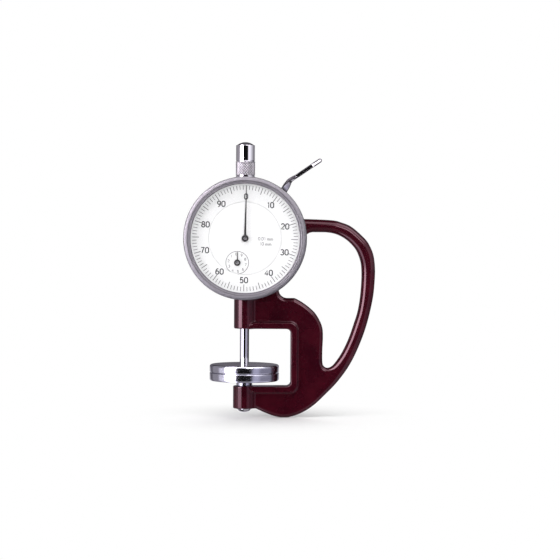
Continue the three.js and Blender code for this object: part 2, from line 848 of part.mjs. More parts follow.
// Left side of the spindle with the rack teeth left standing.
function rackTool(pinionHeight) {
  const outside = -(spindleRadius + cutOverrun);
  const tip = rackLine - gearModule;
  const root = rackLine + gearModule * rackDedendumShare;
  const below = Math.floor((pinionHeight - rackBottom) / rackPitch);
  const above = Math.floor((rackTop - pinionHeight) / rackPitch);
  const points = [[outside, rackBottom]];
  for (let i = -below; i < above; i += 1) {
    const gap = pinionHeight + i * rackPitch;
    const [tipGap, rootGap] = [rackPitch * rackTipGapShare, rackPitch * rackRootGapShare];
    points.push([tip, gap - tipGap], [root, gap - rootGap], [root, gap + rootGap], [tip, gap + tipGap]);
  }
  points.push([outside, rackTop]);
  return slab(outlined(points), outside, -outside);
}

function spindle() {
  const stem = upright([
    [0, spindleBottom],
    [spindleRadius, spindleBottom],
    [spindleRadius, spindleTop - discEdge],
    [spindleRadius - discEdge, spindleTop],
    [0, spindleTop],
  ]);
  const pinSocket = rod(liftPinRadius + fitGap, spindleRadius - liftPinDepth, spindleRadius + cutOverrun);
  const hookSocket = rod(springPinRadius + fitGap, 0, springPinDepth + cutOverrun);
  hookSocket.rotateZ(Math.PI / 2).translate(springPinDepth - spindleRadius, 0, springPinHeight);
  const screwSocket = post(
    discScrewRadius + fitGap, spindleBottom - cutOverrun, spindleBottom + discScrewLength, middleFacets,
  );
  return cut(
    solid(stem),
    solid(rackTool(counterHeight)),
    solid(pinSocket.translate(0, 0, liftPinHeight)),
    solid(hookSocket),
    solid(screwSocket),
  );
}

// The upper disc, with its own threaded stud that goes up into the spindle.
function contactDisc() {
  return upright([
    [0, 0],
    [discRadius - discEdge, 0],
    [discRadius, discEdge],
    [discRadius, contactDiscThickness - discEdge],
    [discRadius - discEdge, contactDiscThickness],
    [discScrewRadius, contactDiscThickness],
    [discScrewRadius, contactDiscThickness + discScrewLength - seatGap],
    [0, contactDiscThickness + discScrewLength - seatGap],
  ]);
}

function placeSpindle() {
  place('spindle', spindle(), chrome);
  place('contact_disc', contactDisc(), ground);
  const liftPin = rod(liftPinRadius, spindleRadius - liftPinDepth + fitGap, liftPinBack);
  place('lift_pin', liftPin, steel, 0, liftPinHeight);
  const springPin = rod(springPinRadius, spindleRadius - springPinDepth + fitGap, springPinReach);
  place('spring_pin', springPin.rotateZ(Math.PI / 2), steel, 0, springPinHeight);
}

// Gears

// Tooth outline of a spur gear whose first tooth points along phase.
function gearShape(teeth, phase, bore) {
  const pitchRadius = (gearModule * teeth) / 2;
  const wheel = teeth === wheelTeeth;
  const tip = pitchRadius + gearModule * addendumShare;
  const root = pitchRadius - gearModule * dedendumShare;
  const pitchAngle = (2 * Math.PI) / teeth;
  const gapAngle = backlash / pitchRadius;
  const tipHalf = pitchAngle * toothTipShare - gapAngle / 2;
  const rootHalf = wheel ? pitchAngle / 2 : pitchAngle * pinionRootShare - gapAngle / 2;
  const points = [];
  for (let i = 0; i < teeth; i += 1) {
    const middle = phase + i * pitchAngle;
    points.push(polar(root, middle - rootHalf));
    points.push(polar(tip, middle - tipHalf), polar(tip, middle + tipHalf));
    if (!wheel) points.push(polar(root, middle + rootHalf));
  }
  const shape = outlined(points);
  shape.holes.push(circle(bore));
  return shape;
}

const pinionPhase = counterAngle + Math.PI / pinionTeeth;
const takeupToothOffset = pinionPhase - takeupAngle;
const takeupPhase =
  takeupAngle + Math.PI - (takeupToothOffset * pinionTeeth) / wheelTeeth + Math.PI / wheelTeeth;

function gearWheel(phase) {
  const bore = arborRadius + fitGap;
  const teeth = slab(gearShape(wheelTeeth, phase, bore), wheelFront, wheelFront + wheelThickness);
  const hub = tube(bore, wheelHubRadius, wheelFront, wheelHubBack);
  return solid(teeth).add(solid(hub));
}

function arbor(front, back) {
  return rod(arborRadius, front, back);
}

function pointer(length, rootWidth, tipWidth, hubRadius, bladeFront, hubFront, hubBack) {
  const bore = arborRadius + fitGap;
  const blade = outlined([
    [-rootWidth / 2, bore],
    [rootWidth / 2, bore],
    [tipWidth / 2, length],
    [-tipWidth / 2, length],
  ]);
  const hole = rod(bore, hubFront - cutOverrun, hubBack + cutOverrun);
  const hub = rod(hubRadius, hubFront, hubBack);
  const strip = slab(blade, bladeFront, bladeFront + pointerBladeThickness);
  return solid(hub).add(solid(strip)).subtract(solid(hole));
}

function placeCounterTrain() {
  const z = counterHeight;
  const back = counterBridgeFront + bridgeThickness - fitGap;
  place('counter_arbor', arbor(counterHubFront, back), steel, counterX, z);
  place('counter_wheel', gearWheel(counterAngle + Math.PI), brass, counterX, z);
  const pinion = gearShape(rackPinionTeeth, 0, arborRadius + fitGap);
  place('rack_pinion', slab(pinion, -rackPinionHalfWidth, rackPinionHalfWidth), steel, counterX, z);
  const hand = pointer(
    counterPointerLength, counterRootWidth, pointerTipWidth, counterHubRadius,
    counterBladeFront, counterHubFront, counterHubBack,
  );
  place('counter_pointer', hand, black, counterX, z);
}

function placeCentreTrain() {
  const back = bridgeFront + bridgeThickness - fitGap;
  place('centre_arbor', arbor(pointerHubFront, back), steel, 0, dialHeight);
  const pinion = gearShape(pinionTeeth, pinionPhase, arborRadius + fitGap);
  place('centre_pinion', slab(pinion, centrePinionFront, centrePinionBack), steel, 0, dialHeight);
  const hand = pointer(
    pointerLength, pointerRootWidth, pointerTipWidth, pointerHubRadius,
    pointerBladeFront, pointerHubFront, pointerHubBack,
  );
  place('main_pointer', hand, black, 0, dialHeight);
}

function placeTakeupTrain() {
  const x = takeupX;
  const z = dialHeight + takeupRise;
  const back = bridgeFront + bridgeThickness - fitGap;
  place('takeup_arbor', arbor(plateFront + fitGap, back), steel, x, z);
  place('takeup_wheel', gearWheel(takeupPhase), brass, x, z);
  const collet = tube(arborRadius + fitGap, colletRadius, colletFront, colletBack);
  place('hairspring_collet', collet, brass, x, z);
}

// Plate, bridges and pillars

function movementPlate() {
  const plain = rod(plateRadius, plateFront, plateSeatFace, largeFacets);
  const tools = [];
  const drill = (radius, x, z, front = plateFront - cutOverrun) => {
    const hole = rod(radius, front, plateSeatFace + cutOverrun);
    tools.push(solid(hole.translate(x, 0, z)));
  };
  drill(pivotHoleRadius, 0, 0);
  drill(pivotHoleRadius, counterX, -counterDrop);
  drill(pivotHoleRadius, takeupX, takeupRise);
  for (const [x, z] of [...centrePillars(), ...counterPillars()]) drill(spigotRadius + fitGap, x, z);
  for (const angle of plateScrewAngles) {
    const [x, z] = polar(lugCircleRadius, angle);
    drill(screwBoreRadius, x, z);
    const floor = plateFront + screwHeadSink + screwHeadHeight;
    const sink = rod(screwHeadRadius + seatGap, plateFront - cutOverrun, floor);
    tools.push(solid(sink.translate(x, 0, z)));
  }
  const [studX, studZ] = hairspringStudPlace();
  drill(studRadius + fitGap, studX, studZ);
  return cut(solid(plain), ...tools);
}

function centrePillars() {
  return [polar(pillarDistance, centrePillarAngle), polar(-pillarDistance, centrePillarAngle)];
}

function counterPillars() {
  return [-1, 1].map((side) => {
    const [x, z] = polar(side * pillarDistance, counterPillarAngle);
    return [counterX + x, z - counterDrop];
  });
}

function hairspringStudPlace() {
  const [x, z] = polar(hairspringOuter + hairspringThickness + seatGap + studRadius, takeupAngle / 2);
  return [takeupX + x, takeupRise + z];
}

function pillar(back) {
  const screwFloor = back - bridgeScrewReach - seatGap;
  return turned(
    [
      [0, plateSeatFace - spigotLength],
      [spigotRadius, plateSeatFace - spigotLength],
      [spigotRadius, plateSeatFace],
      [pillarRadius, plateSeatFace],
      [pillarRadius, back],
      [bridgeScrewHoleRadius, back],
      [bridgeScrewHoleRadius, screwFloor],
      [0, screwFloor],
    ],
    smallFacets,
  );
}

function drilledBridge(outlines, front, screwHoles, pivotHoles) {
  const back = front + bridgeThickness;
  const bars = outlines.map((outline) => solid(slab(outline, front, back)));
  const drill = (radius, [x, z]) => {
    const hole = rod(radius, front - cutOverrun, back + cutOverrun);
    return solid(hole.translate(x, 0, z));
  };
  return cut(
    joined(...bars),
    ...screwHoles.map((at) => drill(bridgeScrewHoleRadius, at)),
    ...pivotHoles.map((at) => drill(pivotHoleRadius, at)),
  );
}

function springPostPlace() {
  return [-springAxisOffset, -springAxisOffset * Math.tan(centrePillarAngle)];
}

function placePillarsAndScrews(group, places, bridgeAt) {
  const back = bridgeAt + bridgeThickness;
  const screw = () =>
    slottedScrew(
      bridgeScrewHeadRadius, bridgeScrewHeadHeight, bridgeScrewShankRadius, back,
      bridgeAt - bridgeScrewReach,
    );
  places.forEach(([x, z], i) => {
    place(`${group}_pillar_${i + 1}`, pillar(bridgeAt), brass, x, dialHeight + z);
    place(`${group}_bridge_screw_${i + 1}`, screw(), steel, x, dialHeight + z);
  });
}

function placeMovement() {
  place('movement_plate', movementPlate(), brass, 0, dialHeight);
  const floor = plateFront + screwHeadSink + screwHeadHeight;
  plateScrewAngles.forEach((angle, i) => {
    const [x, z] = polar(lugCircleRadius, angle);
    const end = plateSeatFace + lugScrewDepth - seatGap;
    const screw = slottedScrew(screwHeadRadius, screwHeadHeight, screwShankRadius, floor, end);
    place(`plate_screw_${i + 1}`, screw, steel, x, dialHeight + z);
  });
  const [left, right] = centrePillars();
  const centreBridge = drilledBridge(
    [bar(left, right, bridgeHalfWidth), bar([0, 0], [takeupX, takeupRise], bridgeHalfWidth)],
    bridgeFront,
    [left, right],
    [[0, 0], [takeupX, takeupRise], springPostPlace()],
  );
  place('centre_bridge', centreBridge, brass, 0, dialHeight);
  const [low, high] = counterPillars();
  const counterBridge = drilledBridge(
    [bar(low, high, bridgeHalfWidth)], counterBridgeFront, [low, high], [[counterX, -counterDrop]],
  );
  place('counter_bridge', counterBridge, brass, 0, dialHeight);
  placePillarsAndScrews('centre', [left, right], bridgeFront);
  placePillarsAndScrews('counter', [low, high], counterBridgeFront);
}

function innerDial() {
  const holes = [[0, 0], [counterX, -counterDrop]].map(([x, z]) =>
    solid(rod(arborHoleRadius, innerDialFront - cutOverrun, plateFront + cutOverrun).translate(x, 0, z)));
  return cut(solid(rod(innerDialRadius, innerDialFront, plateFront, largeFacets)), ...holes);
}

// Springs

function hairspring() {
  const points = [];
  const steps = hairspringTurns * hairspringTurnSteps;
  const edgePoint = (i, side) => {
    const share = i / steps;
    const middle = hairspringInner + (hairspringOuter - hairspringInner) * share;
    const angle = takeupAngle / 2 + share * hairspringTurns * 2 * Math.PI;
    return polar(middle + (side * hairspringThickness) / 2, angle);
  };
  for (let i = 0; i <= steps; i += 1) points.push(edgePoint(i, 1));
  for (let i = steps; i >= 0; i -= 1) points.push(edgePoint(i, -1));
  return slab(outlined(points), hairspringFront, hairspringBack);
}

// Coil with an open hook at each end, along z from the post to the pin.
function returnSpring(postHeight) {
  const hookRadius = springPinRadius + seatGap + springWire;
  const hookTurn = 2 * Math.PI * springHookTurnShare;
  const bottom = postHeight + springHookLength;
  const top = springPinHeight - springHookLength;
  const points = [];
  const hook = (centre, from, to, plane) => {
    for (let i = 0; i <= springHookSteps; i += 1) {
      const angle = from + ((to - from) * i) / springHookSteps;
      const [across, up] = polar(hookRadius, angle);
      points.push(plane === 'x' ? [across, 0, centre + up] : [0, across, centre + up]);
    }
  };
  hook(postHeight, -hookTurn, 0, 'x');
  const coilSteps = springCoils * springTurnSteps;
  for (let i = 0; i <= coilSteps; i += 1) {
    const [x, y] = polar(springCoilRadius, (2 * Math.PI * i) / springTurnSteps);
    points.push([x, y, bottom + ((top - bottom) * i) / coilSteps]);
  }
  hook(springPinHeight, 0, hookTurn, 'y');
  const path = new THREE.CatmullRomCurve3(points.map(([x, y, z]) => new THREE.Vector3(x, y, z)));
  const geometry = new THREE.ExtrudeGeometry(circle(springWire, springWireFacets), {
    steps: coilSteps + 2 * springTurnSteps,
    bevelEnabled: false,
    extrudePath: path,
  });
  return closed(geometry).translate(-springAxisOffset, 0, 0);
}

function springPost() {
  const hole = pivotHoleRadius - fitGap;
  return turned([
    [0, bridgeFront],
    [hole, bridgeFront],
    [hole, bridgeFront + bridgeThickness],
    [springPinRadius, bridgeFront + bridgeThickness],
    [springPinRadius, springPostBack],
    [springPostHeadRadius, springPostBack],
    [springPostHeadRadius, springPostBack + springPostHeadHeight],
    [0, springPostBack + springPostHeadHeight],
  ], smallFacets);
}

function placeSprings() {
  const [x, z] = springPostPlace();
  place('spring_post', springPost(), steel, x, dialHeight + z);
  place('return_spring', returnSpring(dialHeight + z), steel);
  place('hairspring', hairspring(), steel, takeupX, dialHeight + takeupRise);
  const [studX, studZ] = hairspringStudPlace();
  const stud = rod(studRadius, plateSeatFace - spigotLength, hairspringBack);
  place('hairspring_stud', stud, brass, studX, dialHeight + studZ);
}

// Lifting lever

// A strip that follows points in x and z, and turns flat side to edge at its start.
function leverBlade() {
  const points = leverBladeShares.map(([x, z]) =>
    new THREE.Vector2(leverPivotX + x * leverReach, leverPivotHeight + z * leverReach));
  const start = new THREE.Vector2(
    leverPivotX + leverStripLength * leverBladeStartShare * Math.cos(leverExitAngle),
    leverPivotHeight + leverStripLength * leverBladeStartShare * Math.sin(leverExitAngle),
  );
  const path = new THREE.SplineCurve([start, ...points]);
  const blade = new THREE.BoxGeometry(1, 1, 1, leverBladeSteps, leverBladeSideSteps, 1);
  const place = blade.attributes.position;
  for (let i = 0; i < place.count; i += 1) {
    const share = place.getX(i) + 1 / 2;
    const turn = (Math.PI / 2) * THREE.MathUtils.smoothstep(share, ...leverTwistShares);
    const widen = THREE.MathUtils.smoothstep(share, ...leverWidenShares);
    const halfWidth = leverStripHalfWidth + (leverBladeHalfWidth - leverStripHalfWidth) * widen;
    const wide = place.getY(i) * 2 * halfWidth;
    const thin = place.getZ(i) * (leverThickness + (leverBladeThickness - leverThickness) * widen);
    const across = wide * Math.cos(turn) - thin * Math.sin(turn);
    const deep = wide * Math.sin(turn) + thin * Math.cos(turn);
    const at = path.getPoint(share);
    const along = path.getTangent(share);
    place.setXYZ(
      i,
      at.x - along.y * across,
      leverFront + leverThickness / 2 + deep,
      at.y + along.x * across,
    );
  }
  return closed(blade);
}

function liftLever() {
  const armAngle = Math.PI + leverRestAngle;
  const flats = [
    circle(leverHubRadius),
    bar([0, 0], polar(leverPivotX + leverArmOverlap, armAngle), leverArmHalfWidth),
    bar([0, 0], polar(leverStripLength * leverRootShare, leverExitAngle), leverStripHalfWidth),
  ];
  const pieces = flats.map((flat) => solid(slab(flat, leverFront, leverBack)
    .translate(leverPivotX, 0, leverPivotHeight)));
  const hole = rod(leverScrewRadius + fitGap, leverFront - cutOverrun, leverBack + cutOverrun);
  return joined(...pieces, solid(leverBlade()))
    .subtract(solid(hole.translate(leverPivotX, 0, leverPivotHeight)));
}

function placeLever() {
  place('lift_lever', liftLever(), chrome);
  const headPlace = leverFront - turningGap;
  const screw = slottedScrew(
    leverScrewHeadRadius, leverScrewHeadHeight, leverScrewRadius, headPlace, housingBack - fitGap,
  );
  place('lever_screw', screw, steel, leverPivotX, leverPivotHeight);
  const spacer = tube(
    leverScrewRadius + fitGap, leverSpacerRadius, leverBack + turningGap, flangeFront,
  );
  place('lever_spacer', spacer, brass, leverPivotX, leverPivotHeight);
}

placeFrame();
placeCover();
placeBezel();
place('inner_dial', innerDial(), white, 0, dialHeight);
placeSpindle();
placeCounterTrain();
placeCentreTrain();
placeTakeupTrain();
placeMovement();
placeSprings();
placeLever();

export default gauge;
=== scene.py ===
import json
import math

import bmesh
import bpy
import numpy as np
from mathutils import Matrix, Vector


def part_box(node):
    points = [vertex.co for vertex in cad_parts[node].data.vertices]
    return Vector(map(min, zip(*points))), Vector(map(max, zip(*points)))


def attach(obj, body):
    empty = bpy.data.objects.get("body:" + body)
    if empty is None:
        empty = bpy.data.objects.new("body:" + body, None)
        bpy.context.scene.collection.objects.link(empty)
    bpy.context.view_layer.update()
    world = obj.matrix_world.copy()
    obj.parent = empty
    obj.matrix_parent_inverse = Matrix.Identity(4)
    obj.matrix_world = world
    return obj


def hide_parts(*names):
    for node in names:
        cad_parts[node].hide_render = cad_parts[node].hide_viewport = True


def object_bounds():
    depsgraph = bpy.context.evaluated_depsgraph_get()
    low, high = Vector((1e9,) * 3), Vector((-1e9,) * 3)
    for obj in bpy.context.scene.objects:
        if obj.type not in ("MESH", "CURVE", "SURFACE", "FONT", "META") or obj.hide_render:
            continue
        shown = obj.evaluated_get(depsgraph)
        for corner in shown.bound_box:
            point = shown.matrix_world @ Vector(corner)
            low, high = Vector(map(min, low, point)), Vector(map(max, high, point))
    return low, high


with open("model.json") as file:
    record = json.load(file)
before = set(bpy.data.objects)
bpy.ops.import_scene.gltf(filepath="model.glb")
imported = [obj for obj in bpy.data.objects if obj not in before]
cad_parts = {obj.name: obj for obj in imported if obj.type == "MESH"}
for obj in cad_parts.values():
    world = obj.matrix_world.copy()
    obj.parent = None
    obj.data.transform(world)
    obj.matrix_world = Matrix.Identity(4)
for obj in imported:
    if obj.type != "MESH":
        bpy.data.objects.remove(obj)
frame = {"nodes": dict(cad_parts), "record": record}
cad_low, cad_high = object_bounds()

# Scale and reference places, in metres. The sizes below are millimetres of the gauge's own layout:
# x and y from the spindle's axis, with the dial towards -y, and z above the plane where the discs meet.
MM = 0.001
SPINDLE_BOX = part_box("spindle")
SPINDLE_Y = (SPINDLE_BOX[0].y + SPINDLE_BOX[1].y) / 2
DISC_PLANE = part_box("contact_disc")[0].z
DIAL = -DISC_PLANE / MM
# The bezel and both hands stand turned by this angle, in degrees clockwise.
DIAL_LEAN = 1.2


def at(x, y, z):
    return Vector((x * MM, SPINDLE_Y + y * MM, DISC_PLANE + z * MM))


def node_y(name):
    """Front and back of a CAD node, in millimetres from the spindle's axis."""
    low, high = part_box(name)
    return (low.y - SPINDLE_Y) / MM, (high.y - SPINDLE_Y) / MM


def node_z(name):
    low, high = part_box(name)
    return (low.z - DISC_PLANE) / MM, (high.z - DISC_PLANE) / MM


def node_radius(name):
    low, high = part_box(name)
    return (high.x - low.x) / 2 / MM


# Node materials; a node's input is given a number, a colour or the output of another node

def feed(tree, node, inputs):
    for key, value in inputs.items():
        socket = node.inputs[key]
        if isinstance(value, bpy.types.NodeSocket):
            tree.links.new(value, socket)
        else:
            socket.default_value = (*value, 1) if socket.type == "RGBA" else value


def add(tree, kind, inputs=None, **settings):
    node = tree.nodes.new(kind)
    for key, value in settings.items():
        setattr(node, key, value)
    feed(tree, node, inputs or {})
    return node


def calculate(tree, operation, *values, **settings):
    node = add(tree, "ShaderNodeMath", dict(enumerate(values)), operation=operation, **settings)
    return node.outputs["Value"]


def map_range(tree, value, source, target, kind="LINEAR"):
    """A value between the two source numbers, carried over to between the two target numbers."""
    labels = ("Value", "From Min", "From Max", "To Min", "To Max")
    inputs = dict(zip(labels, (value, *source, *target)))
    return add(tree, "ShaderNodeMapRange", inputs, interpolation_type=kind).outputs["Result"]


def mix(tree, share, first, second, kind="MIX"):
    inputs = {0: share, 6: first, 7: second}
    return add(tree, "ShaderNodeMix", inputs, data_type="RGBA", blend_type=kind).outputs[2]


def colour_ramp(tree, value, stops):
    """A colour for each value; the first two stops are the ramp's ends."""
    node = add(tree, "ShaderNodeValToRGB", {"Fac": value})
    points = node.color_ramp.elements
    for i, (place, colour) in enumerate(stops):
        point = points[i] if i < 2 else points.new(place)
        point.position, point.color = place, (*colour, 1)
    return node.outputs["Color"]


def band_share(tree, value, low, high, soft):
    """1 between low and high, falling to 0 over soft at each side."""
    rise = map_range(tree, value, (low - soft, low + soft), (0, 1), "SMOOTHSTEP")
    fall = map_range(tree, value, (high - soft, high + soft), (1, 0), "SMOOTHSTEP")
    return calculate(tree, "MULTIPLY", rise, fall)


def split_axes(tree, vector):
    return add(tree, "ShaderNodeSeparateXYZ", {"Vector": vector}).outputs


def length_of(tree, vector):
    return add(tree, "ShaderNodeVectorMath", {0: vector}, operation="LENGTH").outputs["Value"]


def attribute(tree, name):
    return add(tree, "ShaderNodeAttribute", attribute_name=name).outputs["Fac"]


def millimetres(tree, stretch=(1, 1, 1)):
    """Object coordinates in millimetres, stretched along each axis."""
    place = add(tree, "ShaderNodeTexCoord").outputs["Object"]
    inputs = {"Vector": place, "Scale": [s / MM for s in stretch]}
    return add(tree, "ShaderNodeMapping", inputs).outputs["Vector"]


def axis_distance(tree):
    """Distance in millimetres from the y axis, which the dial's turned parts share."""
    return length_of(tree, millimetres(tree, (1, 0, 1)))


def noise(tree, vector, scale, detail=3.0):
    inputs = {"Vector": vector, "Scale": scale, "Detail": detail, "Roughness": 0.55}
    return add(tree, "ShaderNodeTexNoise", inputs).outputs["Fac"]


def fine_lines(tree, place, scale):
    """Noise that changes only with one measure: the marks of a lathe or a grinding wheel."""
    inputs = {"W": place, "Scale": scale, "Detail": 4.0}
    return add(tree, "ShaderNodeTexNoise", inputs, noise_dimensions="1D").outputs["Fac"]


# Noise seldom leaves these values, so they are taken as its ends.
NOISE_ENDS = (0.3, 0.7)


def spread(tree, value, low, high):
    """Turns a noise value into a number between low and high."""
    return map_range(tree, value, NOISE_ENDS, (low, high))


def blend_colours(tree, value, low, high):
    return colour_ramp(tree, value, zip(NOISE_ENDS, (low, high)))


def bump(tree, height, strength, depth):
    inputs = {"Height": height, "Strength": strength, "Distance": depth * MM}
    return add(tree, "ShaderNodeBump", inputs).outputs["Normal"]


def worn(tree, share, ends, wear):
    """Roughness that a share carries from one end to the other, with some wear on top."""
    rough = map_range(tree, share, (0, 1), ends)
    return calculate(tree, "MULTIPLY_ADD", noise(tree, millimetres(tree), 0.8), wear, rough)


def new_material(name, metallic=0.0):
    material = bpy.data.materials.new(name)
    material.use_nodes = True
    tree = material.node_tree
    shader = tree.nodes["Principled BSDF"]
    shader.inputs["Metallic"].default_value = metallic
    return material, tree, shader


def enamel_paint():
    """Deep maroon stove enamel: glossy, with a trace of orange peel."""
    material, tree, shader = new_material("maroon_enamel")
    place = millimetres(tree)
    feed(tree, shader, {
        "Base Color": blend_colours(tree, noise(tree, place, 0.12), ENAMEL_DARK, ENAMEL_LIGHT),
        "Roughness": spread(tree, noise(tree, place, 0.7), 0.09, 0.15),
        "Specular Tint": (1.0, 0.66, 0.74),
        "Normal": bump(tree, noise(tree, place, 0.8, 2.0), 0.08, 0.02),
    })
    return material


def metal(name, low, high, rough, marks, bump_strength, bump_depth, anisotropic=0.0):
    """A bare or plated metal; marks builds the noise of its machining."""
    material, tree, shader = new_material(name, 1.0)
    lines = marks(tree)
    stains = noise(tree, millimetres(tree), 0.35)
    mixed = calculate(tree, "MULTIPLY_ADD", stains, 0.35, calculate(tree, "MULTIPLY", lines, 0.65))
    feed(tree, shader, {
        "Anisotropic": anisotropic,
        "Base Color": blend_colours(tree, lines, low, high),
        "Roughness": spread(tree, mixed, *rough),
        "Normal": bump(tree, lines, bump_strength, bump_depth),
    })
    return material


def lacquer(name, low, high, rough):
    material, tree, shader = new_material(name)
    place = millimetres(tree)
    feed(tree, shader, {
        "Base Color": blend_colours(tree, noise(tree, place, 1.2), low, high),
        "Roughness": spread(tree, noise(tree, place, 3 * 1.2), *rough),
        "Normal": bump(tree, noise(tree, place, 6 * 1.2), 0.05, 0.004),
    })
    return material


def clear_pane():
    """Acrylic crystal: a mirror film that is thin face on and stronger at a glance."""
    material, tree, shader = new_material("clear_crystal", 1.0)
    glance = add(tree, "ShaderNodeFresnel", {"IOR": 1.25}).outputs["Fac"]
    # Only the outer side mirrors; the pane's inner sides let all light through.
    inner = add(tree, "ShaderNodeNewGeometry").outputs["Backfacing"]
    feed(tree, shader, {
        "Base Color": (0.95, 0.97, 0.98),
        "Roughness": spread(tree, noise(tree, millimetres(tree), 0.2), 0.015, 0.035),
        "Alpha": calculate(tree, "SUBTRACT", glance, inner, use_clamp=True),
    })
    return material


def knurled_chrome():
    """The cap's chrome: bright, but dull in the knurl's band, with painted shade darkening its grooves.
    """
    material, tree, shader = new_material("knurled_chrome", 1.0)
    height = split_axes(tree, millimetres(tree))["Z"]
    origin = DISC_PLANE / MM
    band = band_share(tree, height, origin + KNURL_BOTTOM, origin + KNURL_TOP, 0.15)
    # Painted shade: the groove share darkens the colour in the knurl's grooves.
    cut = mix(tree, attribute(tree, "groove"), (0.5, 0.49, 0.515), (0.13, 0.125, 0.135))
    feed(tree, shader, {
        "Base Color": mix(tree, band, (0.78, 0.77, 0.81), cut),
        "Roughness": worn(tree, band, (0.025, 0.27), 0.03),
    })
    return material


def turned_chrome():
    """The bezel's satin chrome, with painted shade darkening it next to the window and in its grooves."""
    material = metal(
        "turned_chrome", (0.235, 0.23, 0.246), (0.31, 0.303, 0.322), (0.46, 0.58),
        lambda tree: fine_lines(tree, axis_distance(tree), 5.0), 0.25, 0.02,
    )
    tree = material.node_tree
    base = tree.nodes["Principled BSDF"].inputs["Base Color"]
    share = map_range(tree, axis_distance(tree), (WINDOW, WINDOW + BEZEL_FACE), (0, 1))
    # Painted shade: the rings darken the chrome's colour in its grooves and next to the window.
    rings = colour_ramp(tree, share, [(place / BEZEL_FACE, (tone,) * 3) for place, tone in BEZEL_SHADE_RINGS])
    tree.links.new(mix(tree, 1.0, base.links[0].from_socket, rings, "MULTIPLY"), base)
    return material


def worn_chrome():
    """The lever's chrome with a painted reflection: bright on its faces, dark and dull along its rounded
    corners and at its tip.
    """
    material, tree, shader = new_material("worn_chrome", 1.0)
    share = attribute(tree, "painted_sheen")
    feed(tree, shader, {
        "Base Color": mix(tree, share, (0.045, 0.042, 0.048), (0.72, 0.7, 0.75)),
        "Roughness": worn(tree, share, (0.5, 0.07), 0.08),
    })
    return material


WINDOW, BEZEL_FACE = 23.2, 3.2
# Painted shade on the bezel by distance outside the window, its two ends first: darker rings for its
# grooves and next to the window
BEZEL_SHADE_RINGS = [
    (0.0, 0.5), (BEZEL_FACE, 0.66), (0.3, 0.5), (0.42, 0.8), (0.95, 0.8), (1.05, 0.66),
    (1.34, 0.66), (1.46, 0.88), (2.3, 0.88), (2.36, 0.7), (2.46, 0.7), (2.52, 0.88),
]
CAP_RADIUS, KNURL_RADIUS, CAP_SHOULDER_DROP = 4.05, 4.18, 1.2
KNURL_BOTTOM, KNURL_TOP, KNURL_TEETH, KNURL_DEPTH, KNURL_ROWS = 85.2, 91.1, 22, 0.34, 84
ENAMEL_DARK = (0.018, 0.0009, 0.0036)
ENAMEL_LIGHT = (0.036, 0.0021, 0.0062)

MATERIALS = {
    "enamel": enamel_paint(),
    "chrome": metal(
        "bright_chrome", (0.74, 0.72, 0.76), (0.82, 0.80, 0.84), (0.05, 0.12),
        lambda tree: noise(tree, millimetres(tree), 0.8), 0.03, 0.004,
    ),
    "bezel": turned_chrome(),
    "disc": metal(
        "ground_steel", (0.52, 0.52, 0.6), (0.66, 0.66, 0.75), (0.09, 0.18),
        lambda tree: fine_lines(tree, split_axes(tree, millimetres(tree))["Z"], 6.0), 0.12, 0.01,
    ),
    "cover": metal(
        "spun_steel", (0.52, 0.51, 0.54), (0.68, 0.67, 0.69), (0.24, 0.4),
        lambda tree: fine_lines(tree, axis_distance(tree), 4.0), 0.3, 0.02, 0.5,
    ),
    "steel": metal(
        "turned_steel", (0.42, 0.42, 0.45), (0.6, 0.6, 0.62), (0.2, 0.36),
        lambda tree: noise(tree, millimetres(tree, (1, 8, 1)), 1.5), 0.2, 0.02,
    ),
    "brass": metal(
        "lapped_brass", (0.52, 0.33, 0.11), (0.68, 0.47, 0.19), (0.22, 0.38),
        lambda tree: noise(tree, millimetres(tree, (6, 1, 0.5)), 1.5), 0.2, 0.02,
    ),
    "dial": lacquer("dial_lacquer", (0.63, 0.63, 0.635), (0.67, 0.67, 0.675), (0.42, 0.55)),
    "print": lacquer("print_ink", (0.02, 0.019, 0.023), (0.035, 0.034, 0.04), (0.45, 0.6)),
    "black": lacquer("pointer_lacquer", (0.010, 0.009, 0.010), (0.02, 0.018, 0.02), (0.3, 0.42)),
    "pane": clear_pane(),
    "cap": knurled_chrome(),
    "lever": worn_chrome(),
    "grey": lacquer("hub_lacquer", (0.32, 0.32, 0.33), (0.4, 0.4, 0.41), (0.3, 0.42)),
}


# Mesh making

def new_mesh(name, verts, faces):
    mesh = bpy.data.meshes.new(name)
    mesh.from_pydata([tuple(v) for v in verts], [], faces)
    return mesh


def make_piece(name, verts, faces, material, body, slot, replaces=(), sharp=35):
    """A mesh object that rides on a body; verts are metres in the row frame."""
    mesh = new_mesh(name, verts, faces)
    mesh.validate()
    shade(mesh, sharp)
    return add_piece(name, mesh, material, body, replaces)


def give_shares(piece, name, shares):
    """Stores a number for each vertex, for the piece's material."""
    piece.data.attributes.new(name, "FLOAT", "POINT").data.foreach_set("value", shares)


def shade(mesh, sharp):
    mesh.polygons.foreach_set("use_smooth", [True] * len(mesh.polygons))
    mesh.set_sharp_from_angle(angle=math.radians(sharp))


def new_object(name, data):
    thing = bpy.data.objects.new(name, data)
    bpy.context.scene.collection.objects.link(thing)
    return thing


def add_piece(name, mesh, material, body, replaces=()):
    piece = new_object(name, mesh)
    mesh.materials.clear()
    mesh.materials.append(MATERIALS[material])
    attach(piece, body)
    if replaces:
        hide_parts(*replaces)
    return piece


def rounded(points, radius, closed=True, steps=3):
    """The same outline with each corner turned into a short curve."""
    result = []
    count = len(points)
    for i, point in enumerate(points):
        corner = Vector(point)
        back, ahead = Vector(points[i - 1]) - corner, Vector(points[(i + 1) % count]) - corner
        if (not closed and i in (0, count - 1)) or min(back.length, ahead.length) < 1e-9:
            result.append(tuple(point))
            continue
        reach = min(radius, back.length * 0.45, ahead.length * 0.45)
        start, end = corner + back.normalized() * reach, corner + ahead.normalized() * reach
        for j in range(steps + 1):
            t = j / steps
            result.append(tuple(start * (1 - t) ** 2 + corner * 2 * t * (1 - t) + end * t * t))
    return result


